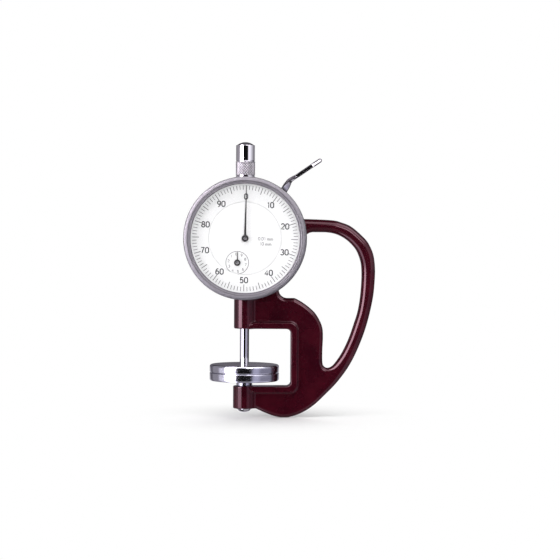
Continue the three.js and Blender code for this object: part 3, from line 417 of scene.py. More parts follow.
def joined(rings, segments):
    """Faces between one ring of vertices and the next; a ring on the axis has a single one."""
    faces = []
    for low, high in zip(rings, rings[1:]):
        for i in range(segments):
            j = i + 1
            quad = [low[i % len(low)], low[j % len(low)], high[j % len(high)], high[i % len(high)]]
            quad = list(dict.fromkeys(quad))
            if len(quad) > 2:
                faces.append(quad)
    return faces


def turn(profile, centre, axis, segments=96, shift=None):
    """Verts and faces of a profile of (radius, place) turned about an axis through centre (x, z or x, y).
    shift(radius, place, angle) may return another radius."""
    verts, rings = [], []
    for radius, place in profile:
        on_axis = radius < 1e-6
        rings.append(range(len(verts), len(verts) + (1 if on_axis else segments)))
        for i in range(len(rings[-1])):
            angle = 2 * math.pi * i / segments
            r = shift(radius, place, angle) if shift and not on_axis else radius
            across, up = centre[0] + r * math.cos(angle), centre[1] + r * math.sin(angle)
            verts.append(at(across, place, up) if axis == "y" else at(across, up, place))
    if profile[0][0] > 1e-6 and profile[-1][0] > 1e-6:
        rings.append(rings[0])
    return verts, outward(verts, joined(rings, segments))


def outward(verts, faces):
    """The faces with their order turned round if the solid would be inside out."""
    volume = sum(
        verts[face[0]].dot(verts[a].cross(verts[b])) for face in faces for a, b in zip(face[1:], face[2:])
    )
    return faces if volume > 0 else [face[::-1] for face in faces]


def shifted(across, up, points):
    return [(across + x, up + z) for x, z in points]


def turned_piece(name, profile, material, body, slot, replaces=(), axis="y", centre=(0, 0),
                 segments=96, edge=0.1, steps=3, sharp=35):
    outline = rounded(profile, edge, profile[0][0] > 1e-6, steps)
    verts, faces = turn(outline, centre, axis, segments)
    return make_piece(name, verts, faces, material, body, slot, replaces, sharp)


def slab(outline, front, back):
    """A closed outline of (x, z) points carried from front to back along y."""
    count = len(outline)
    verts = [at(x, front, z) for x, z in outline] + [at(x, back, z) for x, z in outline]
    faces = [list(range(count)), list(range(2 * count - 1, count - 1, -1))]
    for i in range(count):
        j = (i + 1) % count
        faces.append([i, i + count, j + count, j])
    return verts, outward(verts, faces)


def gather(parts):
    verts, faces = [], []
    for part_verts, part_faces in parts:
        start = len(verts)
        verts += part_verts
        faces += [[start + i for i in face] for face in part_faces]
    return verts, faces


def carve(piece, *tools):
    """Cuts the tools, given as verts and faces, out of a piece."""
    made = []
    for i, (verts, faces) in enumerate(tools):
        tool = new_object("tool", new_mesh("tool", verts, faces))
        cut = piece.modifiers.new(f"cut_{i}", "BOOLEAN")
        cut.object, cut.operation, cut.solver = tool, "DIFFERENCE", "EXACT"
        made.append(tool)
    graph = bpy.context.evaluated_depsgraph_get()
    shaped = bpy.data.meshes.new_from_object(piece.evaluated_get(graph))
    piece.modifiers.clear()
    piece.data = shaped
    shade(shaped, 35)
    for tool in made:
        bpy.data.objects.remove(tool)


def spline(points, steps):
    """Catmull-Rom curve through points, with steps points to each stretch."""
    points = [np.array(p, float) for p in points]
    last = len(points) - 1
    curve = []
    for i in range(last):
        a, b, c, d = (points[max(i - 1, 0)], points[i], points[i + 1], points[min(i + 2, last)])
        for j in range(steps):
            t = j / steps
            v0, v1 = (c - a) / 2, (d - b) / 2
            curve.append(
                (2 * b - 2 * c + v0 + v1) * t**3 + (3 * c - 3 * b - 2 * v0 - v1) * t**2 + v0 * t + b
            )
    curve.append(points[-1])
    return [tuple(p) for p in curve]


def polar(centre, radius, degrees):
    angle = math.radians(degrees)
    return centre[0] + radius * math.cos(angle), centre[1] + radius * math.sin(angle)


def leaned(centre, x, z, turn_by=-math.radians(DIAL_LEAN)):
    """A point given from centre, turned about it: with the dial, or by an angle in radians."""
    return (
        centre[0] + x * math.cos(turn_by) - z * math.sin(turn_by),
        centre[1] + x * math.sin(turn_by) + z * math.cos(turn_by),
    )


def loop(centre, rx, ry, start=0.0, end=360.0, steps=20):
    """Points of an ellipse's arc; the angles are degrees."""
    angles = [math.radians(start + (end - start) * i / steps) for i in range(steps + 1)]
    return [(centre[0] + rx * math.cos(a), centre[1] + ry * math.sin(a)) for a in angles]


def arc(centre, radius, start, end, steps=24):
    return loop(centre, radius, radius, start, end, steps)


# Frame casting, grown from distance fields so that its fillets run into each other

HANDLE_REACH = 55.985
THROAT_DEPTH, THROAT_TOP, THROAT_BOTTOM, THROAT_CORNER = 20.0, 18.9, -5.8, 1.9
RIM_WIDTH, RIM_CORNER, RIM_HALF, RIM_EDGE, RIM_START = 2.9, 3.4, 4.2, 0.55, 1.8
WEB_HALF, HANDLE_HALF, WEB_EDGE, HANDLE_EDGE = 2.0, 2.8, 1.8, 2.6
UPPER_BOSS, LOWER_BOSS, LOWER_BOSS_BOTTOM, TOP_BOSS_HEIGHT = 4.6, 4.85, -15.6, 83.8
HOUSING_RADIUS, HOUSING_BORE, SEAT_RADIUS, FLANGE_BORE = 25.1, 22.6, 23.6, 17.5
HOUSING_FRONT, HOUSING_BACK, FLANGE_FRONT, PLATE_SEAT = -9.7, 7.5, 6.0, -8.5
HANDLE_FILLET, SHOULDER_FILLET = 4.5, 3.6
BUSH_RADIUS, STUD_RADIUS = 3.05, 2.05
LEVER_PIVOT = (13.198, 72.496)
LEVER_SLOT_FRONT, LEVER_SLOT_BACK, LEVER_SLOT_HALF, LEVER_SLOT_REACH = 2.9, 4.5, 1.75, 8.5
LEVER_SLOT_LOW, LEVER_SLOT_HIGH, LEVER_SLOT_STEPS = 19.5, 61.0, 12
GRID_STEP = 0.4

OUTER_SHARES = [
  (0.148, -0.297), (0.22, -0.3235), (0.283, -0.336), (0.357, -0.332), (0.449, -0.299),
  (0.539, -0.2425), (0.628, -0.161), (0.717, -0.071), (0.807, 0.049), (0.88, 0.19), (0.943, 0.359),
  (0.989, 0.552), (1.004, 0.7), (1.0045, 0.798), (0.992, 0.882), (0.965, 0.947), (0.925, 1.003),
  (0.825, 1.088), (0.744, 1.122), (0.663, 1.139), (0.443, 1.147), (0.3, 1.147),
]
INNER_SHARES = [
  (0.386, 0.556), (0.436, 0.53), (0.488, 0.495), (0.541, 0.448), (0.576, 0.396), (0.6, 0.339),
  (0.606, 0.27), (0.602, 0.16), (0.603, 0.076), (0.615, 0.047), (0.641, 0.036), (0.674, 0.048),
  (0.707, 0.083), (0.754, 0.153), (0.804, 0.256), (0.848, 0.38), (0.872, 0.457), (0.889, 0.552),
  (0.898, 0.648), (0.901, 0.741), (0.895, 0.817), (0.877, 0.876), (0.85, 0.927), (0.798, 0.981),
  (0.739, 1.019), (0.68, 1.04), (0.621, 1.048),
]


def from_shares(shares, steps=8):
    return spline([(x * HANDLE_REACH, z * DIAL) for x, z in shares], steps)


def fillet_centre(line_height, fillet):
    z = line_height - fillet if line_height > DIAL else line_height + fillet
    return math.sqrt((HOUSING_RADIUS + fillet) ** 2 - (z - DIAL) ** 2), z


def opening_outline():
    upper = fillet_centre(INNER_SHARES[-1][1] * DIAL, HANDLE_FILLET)
    lower = fillet_centre(INNER_SHARES[0][1] * DIAL, SHOULDER_FILLET)
    upper_touch = math.degrees(math.atan2(DIAL - upper[1], -upper[0]))
    lower_touch = math.degrees(math.atan2(DIAL - lower[1], -lower[0]))
    return [
        *from_shares(INNER_SHARES),
        *arc(upper, HANDLE_FILLET, 90, upper_touch),
        *arc(lower, SHOULDER_FILLET, lower_touch, 270),
    ]


def throat_edge():
    x = THROAT_DEPTH - THROAT_CORNER
    return [
        *arc((x, THROAT_TOP - THROAT_CORNER), THROAT_CORNER, 90, 0, 10),
        *arc((x, THROAT_BOTTOM + THROAT_CORNER), THROAT_CORNER, 0, -90, 10),
    ]


def body_outline():
    return [
        (0, THROAT_BOTTOM), (0, LOWER_BOSS_BOTTOM), (LOWER_BOSS, LOWER_BOSS_BOTTOM),
        *from_shares(OUTER_SHARES), (0, DIAL), (0, THROAT_TOP), *throat_edge(),
    ]


def outline_distance(outline, x, z):
    """Signed distance of the points (x, z) to a closed outline, negative inside."""
    nearest = np.full(x.shape, 1e9, np.float32)
    inside = np.zeros(x.shape, bool)
    for (ax, az), (bx, bz) in zip(outline, outline[1:] + outline[:1]):
        ex, ez = bx - ax, bz - az
        size = ex * ex + ez * ez
        if size < 1e-12:
            continue
        px, pz = x - ax, z - az
        share = np.clip((px * ex + pz * ez) / size, 0, 1)
        nearest = np.minimum(nearest, (px - ex * share) ** 2 + (pz - ez * share) ** 2)
        if az != bz:
            inside ^= ((az > z) != (bz > z)) & (x < ex * (z - az) / ez + ax)
    return np.where(inside, -np.sqrt(nearest), np.sqrt(nearest))


def edge_rounded(across, along, edge):
    """Distance to a form given by two distances at right angles, with its edge rounded."""
    u, v = across + edge, along + edge
    return np.minimum(np.maximum(u, v), 0) + np.hypot(np.maximum(u, 0), np.maximum(v, 0)) - edge


def smooth(value, low, high):
    share = np.clip((value - low) / (high - low), 0, 1)
    return share * share * (3 - 2 * share)


def united(a, b, fillet):
    corner = np.hypot(np.maximum(fillet - a, 0), np.maximum(fillet - b, 0))
    return np.maximum(fillet, np.minimum(a, b)) - corner


def without(a, tool, edge):
    return -united(-a, tool, edge)


def span_distance(value, low, high):
    return np.abs(value - (low + high) / 2) - (high - low) / 2


def rod(away, radius, along, low, high, edge=0.0):
    """A rod from low to high along the axis that away is the distance from."""
    return edge_rounded(away - radius, span_distance(along, low, high), edge)


def box_plane(x, z, across, up, corner):
    """Signed distance in the x, z plane to a box with round corners."""
    return edge_rounded(span_distance(x, *across), span_distance(z, *up), corner)


def casting_distance(x, y, z):
    body = np.maximum(
        outline_distance(body_outline(), x, z), -outline_distance(opening_outline(), x, z)
    )
    handle = np.maximum(smooth(x, 33, 45), smooth(z, 45, 55))
    edge = WEB_EDGE + (HANDLE_EDGE - WEB_EDGE) * handle
    half = WEB_HALF + (HANDLE_HALF - WEB_HALF) * handle
    form = edge_rounded(body, np.abs(y) - half, edge)
    across = (RIM_START, THROAT_DEPTH + RIM_WIDTH)
    up = (THROAT_BOTTOM - RIM_WIDTH, THROAT_TOP + RIM_WIDTH)
    throat = box_plane(x, z, (-THROAT_DEPTH, THROAT_DEPTH), (THROAT_BOTTOM, THROAT_TOP), THROAT_CORNER)
    rim = np.maximum(box_plane(x, z, across, up, RIM_CORNER), -throat)
    spindle, dial = np.hypot(x, y), np.hypot(x, z - DIAL)
    added = (
        (edge_rounded(rim, np.abs(y) - RIM_HALF, RIM_EDGE), 0.6),
        (rod(spindle, UPPER_BOSS, z, THROAT_TOP, DIAL, 0.45), 0.6),
        (rod(spindle, LOWER_BOSS, z, LOWER_BOSS_BOTTOM, THROAT_BOTTOM, 0.45), 0.6),
        (rod(dial, HOUSING_RADIUS, y, HOUSING_FRONT, HOUSING_BACK, 0.4), 1.5),
        (rod(spindle, UPPER_BOSS, z, DIAL, TOP_BOSS_HEIGHT, 0.3), 1.0),
    )
    for solid, fillet in added:
        form = united(form, solid, fillet)
    housing_bores = (
        (HOUSING_BORE, PLATE_SEAT - 1, FLANGE_FRONT),
        (SEAT_RADIUS, HOUSING_FRONT - 2, PLATE_SEAT),
        (FLANGE_BORE, 0, HOUSING_BACK + 2),
    )
    removed = (
        np.minimum.reduce([rod(dial, radius, y, low, high) for radius, low, high in housing_bores]),
        rod(spindle, BUSH_RADIUS, z, THROAT_TOP - 2, TOP_BOSS_HEIGHT + 2),
        rod(spindle, STUD_RADIUS, z, LOWER_BOSS_BOTTOM - 2, THROAT_BOTTOM + 2),
    )
    for solid in removed:
        form = without(form, solid, 0.15)
    return without(form, lever_slot(x, y, z), 0.3)


def lever_slot(x, y, z):
    """The slit in the housing wall that the lever's strip swings through."""
    u, v = x - LEVER_PIVOT[0], z - LEVER_PIVOT[1]
    distance = np.full(u.shape, 1e9, np.float32)
    for i in range(LEVER_SLOT_STEPS + 1):
        angle = math.radians(LEVER_SLOT_LOW + (LEVER_SLOT_HIGH - LEVER_SLOT_LOW) * i / LEVER_SLOT_STEPS)
        along = np.clip(u * math.cos(angle) + v * math.sin(angle), 0, LEVER_SLOT_REACH)
        away = np.hypot(u - along * math.cos(angle), v - along * math.sin(angle))
        distance = np.minimum(distance, away - LEVER_SLOT_HALF)
    return np.maximum(distance, span_distance(y, LEVER_SLOT_FRONT, LEVER_SLOT_BACK))


def surface_nets(field):
    """Grid positions and four-sided faces of the surface where the field changes sign."""
    inside = field < 0
    shape = [n - 1 for n in field.shape]
    corners = [(i, j, k) for i in (0, 1) for j in (0, 1) for k in (0, 1)]
    count = np.zeros(shape, np.int8)
    for i, j, k in corners:
        count += inside[i : i + shape[0], j : j + shape[1], k : k + shape[2]]
    active = (count > 0) & (count < 8)
    cells = np.argwhere(active)
    index = np.full(shape, -1, np.int64)
    index[active] = np.arange(len(cells))
    total = np.zeros((len(cells), 3))
    crossings = np.zeros(len(cells))
    for a in corners:
        for axis in range(3):
            if a[axis]:
                continue
            b = tuple(1 if n == axis else a[n] for n in range(3))
            fa = field[tuple((cells + a).T)]
            fb = field[tuple((cells + b).T)]
            crossed = (fa < 0) != (fb < 0)
            share = np.where(crossed, fa / np.where(crossed, fa - fb, 1), 0)
            point = np.array(a) + share[:, None] * (np.array(b) - a)
            total += np.where(crossed[:, None], point, 0)
            crossings += crossed
    places = cells + total / crossings[:, None]
    faces = []
    for axis in range(3):
        u, v = (axis + 1) % 3, (axis + 2) % 3
        step = np.eye(3, dtype=int)
        lower = np.take(inside, range(inside.shape[axis] - 1), axis)
        upper = np.take(inside, range(1, inside.shape[axis]), axis)
        edges = np.argwhere(lower != upper)
        edges = edges[(edges[:, u] > 0) & (edges[:, v] > 0)]
        edges = edges[(edges[:, u] < shape[u]) & (edges[:, v] < shape[v])]
        ring = [edges, edges - step[u], edges - step[u] - step[v], edges - step[v]]
        quads = np.stack([index[tuple(cell.T)] for cell in ring], 1)
        outwards = lower[tuple(edges.T)]
        faces.append(np.where(outwards[:, None], quads, quads[:, ::-1]))
    return places, np.concatenate(faces)


def make_casting():
    low = np.array([-HOUSING_RADIUS, HOUSING_FRONT, -20.0]) - 3 * GRID_STEP
    high = np.array([HANDLE_REACH, HOUSING_BACK, TOP_BOSS_HEIGHT]) + 3 * GRID_STEP
    axes = [np.arange(a, b, GRID_STEP, dtype=np.float32) for a, b in zip(low, high)]
    x, y, z = axes[0][:, None, None], axes[1][None, :, None], axes[2][None, None, :]
    x, z = np.broadcast_arrays(x, z)
    places, faces = surface_nets(casting_distance(x, y, z))
    points = low + places * GRID_STEP
    slope = gradient(points)
    for _ in range(2):
        points = points - casting_distance(*points.T)[:, None] * slope
        slope = gradient(points)
    verts = points * MM + np.array(at(0, 0, 0))
    mesh = new_mesh("casting", verts.tolist(), faces.tolist())
    mesh.polygons.foreach_set("use_smooth", [True] * len(mesh.polygons))
    mesh.normals_split_custom_set_from_vertices(slope.tolist())
    return add_piece("casting", mesh, "enamel", "root", ["frame_casting"])


def gradient(points):
    gap = 0.03
    slope = np.empty_like(points)
    for axis in range(3):
        ahead, behind = points.copy(), points.copy()
        ahead[:, axis] += gap
        behind[:, axis] -= gap
        slope[:, axis] = casting_distance(*ahead.T) - casting_distance(*behind.T)
    return slope / np.maximum(np.linalg.norm(slope, axis=1), 1e-9)[:, None]


# Bezel with its crystal and scale ring

BEZEL_BODY = "bezel"
BEZEL_RADIUS = node_radius("bezel_ring")
BEZEL_FRONT, BEZEL_BACK = node_y("bezel_ring")
CRYSTAL_FRONT, CRYSTAL_BACK = node_y("crystal")
RING_FRONT, RING_BACK = node_y("scale_ring")
INNER_FRONT, INNER_BACK = node_y("inner_dial")
INSERT = 23.9


def make_bezel():
    r, front, back = BEZEL_RADIUS, BEZEL_FRONT, BEZEL_BACK
    profile = [
        (WINDOW, CRYSTAL_FRONT),
        *shifted(WINDOW, front, [
            (0, 0.42), (0.14, 0.2), (0.54, 0.15), (0.62, 0.34), (0.74, 0.13), (1.14, 0.07), (1.23, 0.3),
            (1.36, 0.04), (1.44, 0),
        ]),
        *shifted(r, front, [
            (-1.15, 0.05), (-0.78, 0.11), (-0.73, 0.2), (-0.38, 0.26), (-0.12, 0.58), (0, 1.05),
            (0, 4.2), (-0.18, 4.32), (-0.18, 4.62), (0, 4.74),
        ]),
        (r, back - 0.25), (r - 0.25, back), (HOUSING_RADIUS + 0.1, back), (HOUSING_RADIUS + 0.1, -10.0),
        (24.0, -10.0), (24.0, CRYSTAL_FRONT),
    ]
    turned_piece("bezel", profile, "bezel", BEZEL_BODY, "chrome_plate", ["bezel_ring"],
                 centre=(0, DIAL), segments=256, edge=0.09, steps=2, sharp=50)


def make_dial_plates():
    rim, step = INSERT - 0.05, RING_BACK + 0.15
    plates = [
        ("scale_plate", "dial", BEZEL_BODY, "dial_white", "scale_ring", 0.04,
         [(15.6, RING_FRONT), (rim, RING_FRONT), (rim, RING_BACK), (15.6, RING_BACK)]),
        ("centre_plate", "dial", "root", "dial_white", "inner_dial", 0.06,
         [(0, INNER_FRONT), (15.5, INNER_FRONT), (15.5, step), (16.4, step), (16.4, INNER_BACK),
          (0, INNER_BACK)]),
        ("window_pane", "pane", BEZEL_BODY, "crystal", "crystal", 0.1,
         [(0, CRYSTAL_FRONT), (INSERT, CRYSTAL_FRONT), (INSERT, CRYSTAL_BACK), (0, CRYSTAL_BACK)]),
    ]
    for name, material, body, slot, node, edge, profile in plates:
        turned_piece(name, profile, material, body, slot, [node],
                     centre=(0, DIAL), segments=192, edge=edge)


# Print on the dial: ticks, and numbers drawn as strokes of even width

PRINT_LIFT = 0.03
TICK_OUTER, TICK_SHORT, TICK_LONG = 22.6, 20.75, 19.7
TICK_HALF, NUMBER_RADIUS, NUMBER_HEIGHT, NUMBER_STROKE = 0.108, 17.85, 2.45, 0.47
# Strokes of the characters, one high; each is a list of points.
STROKES = {
    "0": [
        loop((0.3, 0.69), 0.27, 0.27, 0, 180) + loop((0.3, 0.31), 0.27, 0.27, 180, 360) + [(0.57, 0.69)],
    ],
    "1": [[(0.12, 0.79), (0.2, 0.82), (0.3, 0.97), (0.3, 0.03)]],
    "2": [loop((0.3, 0.7), 0.26, 0.27, 165, -38) + [(0.05, 0.04), (0.57, 0.04)]],
    "3": [loop((0.29, 0.74), 0.23, 0.23, 155, -90) + loop((0.29, 0.27), 0.27, 0.24, 90, -155)],
    "4": [[(0.43, 0.03), (0.43, 0.95), (0.03, 0.28), (0.58, 0.28)]],
    "5": [[(0.52, 0.96), (0.14, 0.96), (0.08, 0.52)] + loop((0.29, 0.32), 0.26, 0.29, 140, -155)],
    "6": [loop((0.31, 0.31), 0.26, 0.28), loop((0.4, 0.36), 0.35, 0.61, 78, 186, 12)],
    "7": [[(0.04, 0.96), (0.56, 0.96), (0.36, 0.55), (0.22, 0.03)]],
    "8": [loop((0.3, 0.74), 0.22, 0.22), loop((0.3, 0.27), 0.27, 0.245)],
    ".": [[(0.1, 0.0), (0.1, 0.12)]],
    "m": [[(0.06, 0.0), (0.06, 0.62)]] + [
        [(left, 0.42)] + loop((left + 0.18, 0.42), 0.18, 0.19, 180, 0, 8) + [(left + 0.36, 0.0)]
        for left in (0.06, 0.42)
    ],
    " ": [],
}
STROKES["9"] = [[(0.61 - x, 1 - y) for x, y in stroke] for stroke in STROKES["6"]]
ADVANCE = {"1": 0.6, ".": 0.32, " ": 0.35, "m": 1.02}
DIGIT_ADVANCE = 0.77


def ribbon(points, width):
    """The two sides of a stroke, and whether it ends where it begins."""
    closed = math.dist(points[0], points[-1]) < 1e-6
    points = [p for i, p in enumerate(points) if i == 0 or math.dist(p, points[i - 1]) > 1e-6]
    points = points[:-1] if closed else points
    left, right = [], []
    for i, (x, z) in enumerate(points):
        ahead = (i + 1) % len(points)
        chain = [points[i - 1]] * (closed or i > 0) + [(x, z)] + [points[ahead]] * (closed or ahead > 0)
        sides = []
        for a, b in zip(chain, chain[1:]):
            size = math.dist(a, b)
            sides.append(((a[1] - b[1]) / size, (b[0] - a[0]) / size))
        nx = sum(s[0] for s in sides) / len(sides)
        nz = sum(s[1] for s in sides) / len(sides)
        size = max(nx * nx + nz * nz, 0.35)
        left.append((x + nx / size * width / 2, z + nz / size * width / 2))
        right.append((x - nx / size * width / 2, z - nz / size * width / 2))
    return left, right, closed


def stroke_solid(points, width, front, back):
    left, right, closed = ribbon(points, width)
    count = len(left)
    verts = []
    for x, z in left + right:
        verts += [at(x, front, z), at(x, back, z)]
    faces = []
    ends = count if closed else count - 1
    for i in range(ends):
        j = (i + 1) % count
        a, b, c, d = 2 * i, 2 * j, 2 * (count + j), 2 * (count + i)
        faces += [[a, b, c, d], [d + 1, c + 1, b + 1, a + 1], [a, a + 1, b + 1, b], [d, c, c + 1, d + 1]]
    if not closed:
        for i, order in ((0, 1), (count - 1, -1)):
            a, d = 2 * i, 2 * (count + i)
            faces.append([a, d, d + 1, a + 1][::order])
    return verts, outward(verts, faces)


def text_solids(text, centre, height, stroke, front, back):
    """Characters in a row whose middle is at centre, turned with the dial."""
    solids = []
    pen = -sum(ADVANCE.get(c, DIGIT_ADVANCE) for c in text) * height / 2
    for character in text:
        for points in STROKES[character]:
            placed = [leaned(centre, pen + (u + 0.06) * height, (v - 0.5) * height) for u, v in points]
            solids.append(stroke_solid(placed, stroke, front, back))
        pen += ADVANCE.get(character, DIGIT_ADVANCE) * height
    return solids


def clockwise(radius, degrees):
    return polar((0, DIAL), radius, 90 - degrees)


def make_scale_print():
    front, back = RING_FRONT - PRINT_LIFT, RING_FRONT + PRINT_LIFT
    ticks, numbers = [], []
    for i in range(100):
        inner, half = (TICK_SHORT, TICK_HALF) if i % 5 else (TICK_LONG, TICK_HALF * 1.25)
        ends = [clockwise(radius, DIAL_LEAN + i * 3.6) for radius in (inner, TICK_OUTER)]
        ticks.append(stroke_solid(ends, 2 * half, front, back))
    make_piece("scale_ticks", *gather(ticks), "print", BEZEL_BODY, "pointer_black")
    for i in range(10):
        place = clockwise(NUMBER_RADIUS, DIAL_LEAN + i * 36)
        numbers += text_solids(str(10 * i), place, NUMBER_HEIGHT, NUMBER_STROKE, front, back)
    make_piece("scale_numbers", *gather(numbers), "print", BEZEL_BODY, "pointer_black")


COUNTER_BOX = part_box("counter_arbor")
COUNTER = (
    (COUNTER_BOX[0].x + COUNTER_BOX[1].x) / 2 / MM,
    (COUNTER_BOX[0].z + COUNTER_BOX[1].z - 2 * DISC_PLANE) / 2 / MM,
)
COUNTER_CIRCLE = 4.85


def make_centre_print():
    front, back = INNER_FRONT - PRINT_LIFT, INNER_FRONT + PRINT_LIFT
    solids = [stroke_solid(loop(COUNTER, COUNTER_CIRCLE, COUNTER_CIRCLE, 0, 360, 96), 0.2, front, back)]
    for i in range(10):
        solids += text_solids(str(i), polar(COUNTER, 3.75, 96 + 36 * i), 1.15, 0.16, front, back)
    for text, drop in (("0.01 mm", 0.2), ("10 mm", 2.4)):
        solids += text_solids(text, (8.8, DIAL - drop), 1.35, 0.17, front, back)
    make_piece("centre_print", *gather(solids), "print", "root", "pointer_black")


# Pointers: each hand's name, node, body and centre, the front and back of its blade, its pin's radius,
# its length from the centre, its widths at the root and near the tip, and its tail

HANDS = [
    ("long_hand", "main_pointer", "centre_group", (0, DIAL), (-12.3, -12.0), 0.72,
     22.6, (0.95, 0.26), 0.6),
    ("short_hand", "counter_pointer", "counter_group", COUNTER, (-11.25, -10.95), 0.78,
     4.9, (0.5, 0.24), 0.5),
]


def make_pointers():
    """Flat tapering hands; each boss is a dark ring round a bright pin."""
    for name, node, body, centre, blade, pin, length, (root, point), tail in HANDS:
        front, back = node_y(node)
        side = [(root / 2, -tail), (root / 2, 0), (point / 2, length - 0.5)]
        outline = [(-x, z) for x, z in side] + [(0, length)] + side[::-1]
        placed = [leaned(centre, x, z) for x, z in outline]
        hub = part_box(node)[1].x / MM - centre[0]
        ring = [(pin - 0.04, front + 0.14), (pin + 0.1, front), (hub - 0.22, front), (hub, front + 0.22),
                (hub, back), (pin - 0.04, back)]
        parts = [slab(placed, *blade), turn(rounded(ring, 0.06), centre, "y", 64)]
        make_piece(name, *gather(parts), "black", body, "pointer_black", [node])
    for name, node, body, centre, _, pin, *_ in HANDS:
        front = node_y(node)[0]
        dome = shifted(0, front, [(0, 0), (0.4, 0.06), (pin - 0.08, 0.2), (pin, 0.5), (0, 0.5)])
        turned_piece(f"{name}_pin", dome, "grey", body, "steel", centre=centre, segments=48, edge=0.08)


# Spindle, discs, cap and anvil

CAP_BOTTOM, CAP_TOP = node_z("spindle_cap")
DOME_RADIUS, DOME_EDGE = 5.7, 52.2
# The rack's gaps lie round the height of the counter's pinion, a sixteenth of 10 mm apart.
RACK_GAPS, RACK_PITCH, RACK_DROP = 21, 10 / 16, 11.3
DISC_TOP = 3.45


def groove(radius, place, angle):
    """1 in the bottom of the diamond knurl's grooves, 0 on its points and off the band."""
    if not KNURL_BOTTOM + 0.2 < place < KNURL_TOP - 0.2 or radius < CAP_RADIUS - KNURL_DEPTH:
        return 0.0
    run = place / CAP_RADIUS
    first = abs(math.sin(KNURL_TEETH / 2 * (angle + run)))
    second = abs(math.sin(KNURL_TEETH / 2 * (angle - run)))
    return 1 - min(first, second) ** 0.7


def knurl(radius, place, angle):
    return radius - KNURL_DEPTH * groove(radius, place, angle)


def make_cap():
    shoulder = CAP_TOP - CAP_SHOULDER_DROP
    dome = arc((0, CAP_TOP - DOME_RADIUS), DOME_RADIUS, 90, DOME_EDGE, 14)
    lead = [
        *dome, (dome[-1][0] + 0.12, shoulder),
        *shifted(CAP_RADIUS, shoulder, [(0, -0.2), (0, -0.45), (0, -0.55)]),
        *shifted(CAP_RADIUS, KNURL_TOP, [(0, 0.7), (0, 0.6), (0, 0.35), (-0.14, 0.22), (-0.14, 0.06)]),
        (KNURL_RADIUS, KNURL_TOP),
    ]
    height = KNURL_TOP - KNURL_BOTTOM
    band = [(KNURL_RADIUS, KNURL_TOP - height * i / KNURL_ROWS) for i in range(1, KNURL_ROWS)]
    tail = [
        (KNURL_RADIUS, KNURL_BOTTOM),
        *shifted(CAP_RADIUS, KNURL_BOTTOM, [(-0.14, -0.06), (-0.14, -0.22), (0, -0.35)]),
        *shifted(CAP_RADIUS, CAP_BOTTOM, [(0, 0.2), (-0.15, 0)]),
        (3.1, CAP_BOTTOM), (3.1, 90.0), (2.6, 90.0), (2.6, 96.9), (0, 96.9),
    ]
    profile = rounded(lead, 0.12, False) + band + tail
    verts, faces = turn(profile, (0, 0), "z", 352, knurl)
    cap = make_piece("dust_cap", verts, faces, "cap", "root", "chrome_plate", ["spindle_cap"])
    # Each vertex's groove share, which the cap's material uses for the painted shade in the grooves.
    shares = []
    for vert in verts:
        across, away, up = vert.x / MM, (vert.y - SPINDLE_Y) / MM, (vert.z - DISC_PLANE) / MM
        shares.append(groove(math.hypot(across, away), up, math.atan2(away, across)))
    give_shares(cap, "groove", shares)


def make_spindle_group():
    bottom, top = node_z("spindle")
    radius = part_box("spindle")[1].x / MM
    profile = [(0, bottom), (radius, bottom), (radius, 33.9), (radius, 34.1), (radius, 50.9),
               (radius, 51.1), (radius, top - 0.4), (radius - 0.4, top), (0, top)]
    piece = turned_piece("spindle_rod", profile, "chrome", "spindle_group", "chrome_plate", ["spindle"],
                         axis="z", edge=0.08)
    gaps = []
    for i in range(RACK_GAPS):
        z = COUNTER[1] - RACK_DROP + i * RACK_PITCH
        outline = [(-2.6, z - 0.22), (-1.5, z - 0.11), (-1.5, z + 0.11), (-2.6, z + 0.22)]
        gaps.append(slab(outline, -2.2, 2.2))
    carve(piece, gather(gaps))
    radius = node_radius("contact_disc")
    low, high = node_z("contact_disc")
    disc = [(0, low), (radius - 0.3, low), (radius, low + 0.3),
            *shifted(radius, DISC_TOP, [(0, -0.8), (-0.22, -0.25), (-0.75, 0)]),
            (1.0, DISC_TOP), (1.0, high), (0, high)]
    turned_piece("upper_disc", disc, "disc", "spindle_group", "ground_steel", ["contact_disc"],
                 axis="z", segments=256, edge=0.2)


def make_anvil():
    radius = node_radius("anvil_disc")
    disc = [(0, 0), (radius - 0.3, 0), (radius, -0.3), (radius, -2.9), (radius - 0.18, -3.4),
            (radius - 0.6, -3.6), (3.75, -3.6), (3.45, -3.9), (3.45, THROAT_BOTTOM),
            (2.0, THROAT_BOTTOM), (2.0, -11.5), (0, -11.5)]
    turned_piece("lower_disc", disc, "disc", "root", "ground_steel", ["anvil_disc"],
                 axis="z", segments=256, edge=0.08)
    low, high = node_z("anvil_screw")
    top = LOWER_BOSS_BOTTOM
    screw = [*shifted(0, low, [(0, 0), (0.95, 0.04), (1.8, 0.22), (2.55, 0.65)]),
             *shifted(0, top, [(3.0, -0.3), (3.1, -0.1), (3.1, 0), (1.5, 0)]), (1.5, high), (0, high)]
    piece = turned_piece("lower_screw", screw, "chrome", "root", "chrome_plate", ["anvil_screw"],
                         axis="z", edge=0.15)
    slot = [(-3.5, low - 1), (3.5, low - 1), (3.5, low + 0.7), (-3.5, low + 0.7)]
    carve(piece, slab(slot, -0.4, 0.4))


# Lifting lever

LEVER_REACH = 19.8
LEVER_FRONT, LEVER_BACK = 3.2, 4.2
LEVER_EXIT = 61.0
LEVER_BLADE_SHARES = [
    (0.255, 0.447), (0.318, 0.54), (0.465, 0.637), (0.62, 0.742), (0.793, 0.862), (1, 1),
]


def between(start, end, inset, shine):
    """Points on the way from start to end: borders painted dark, and a strip of the given painted sheen
    between them.
    """
    (ax, ay), (bx, by) = start, end
    borders = ((inset - 0.05, 0.0), (inset, shine), (1 - inset, shine), (1.05 - inset, 0.0))
    return [(ax + (bx - ax) * t, ay + (by - ay) * t, painted_sheen) for t, painted_sheen in borders]


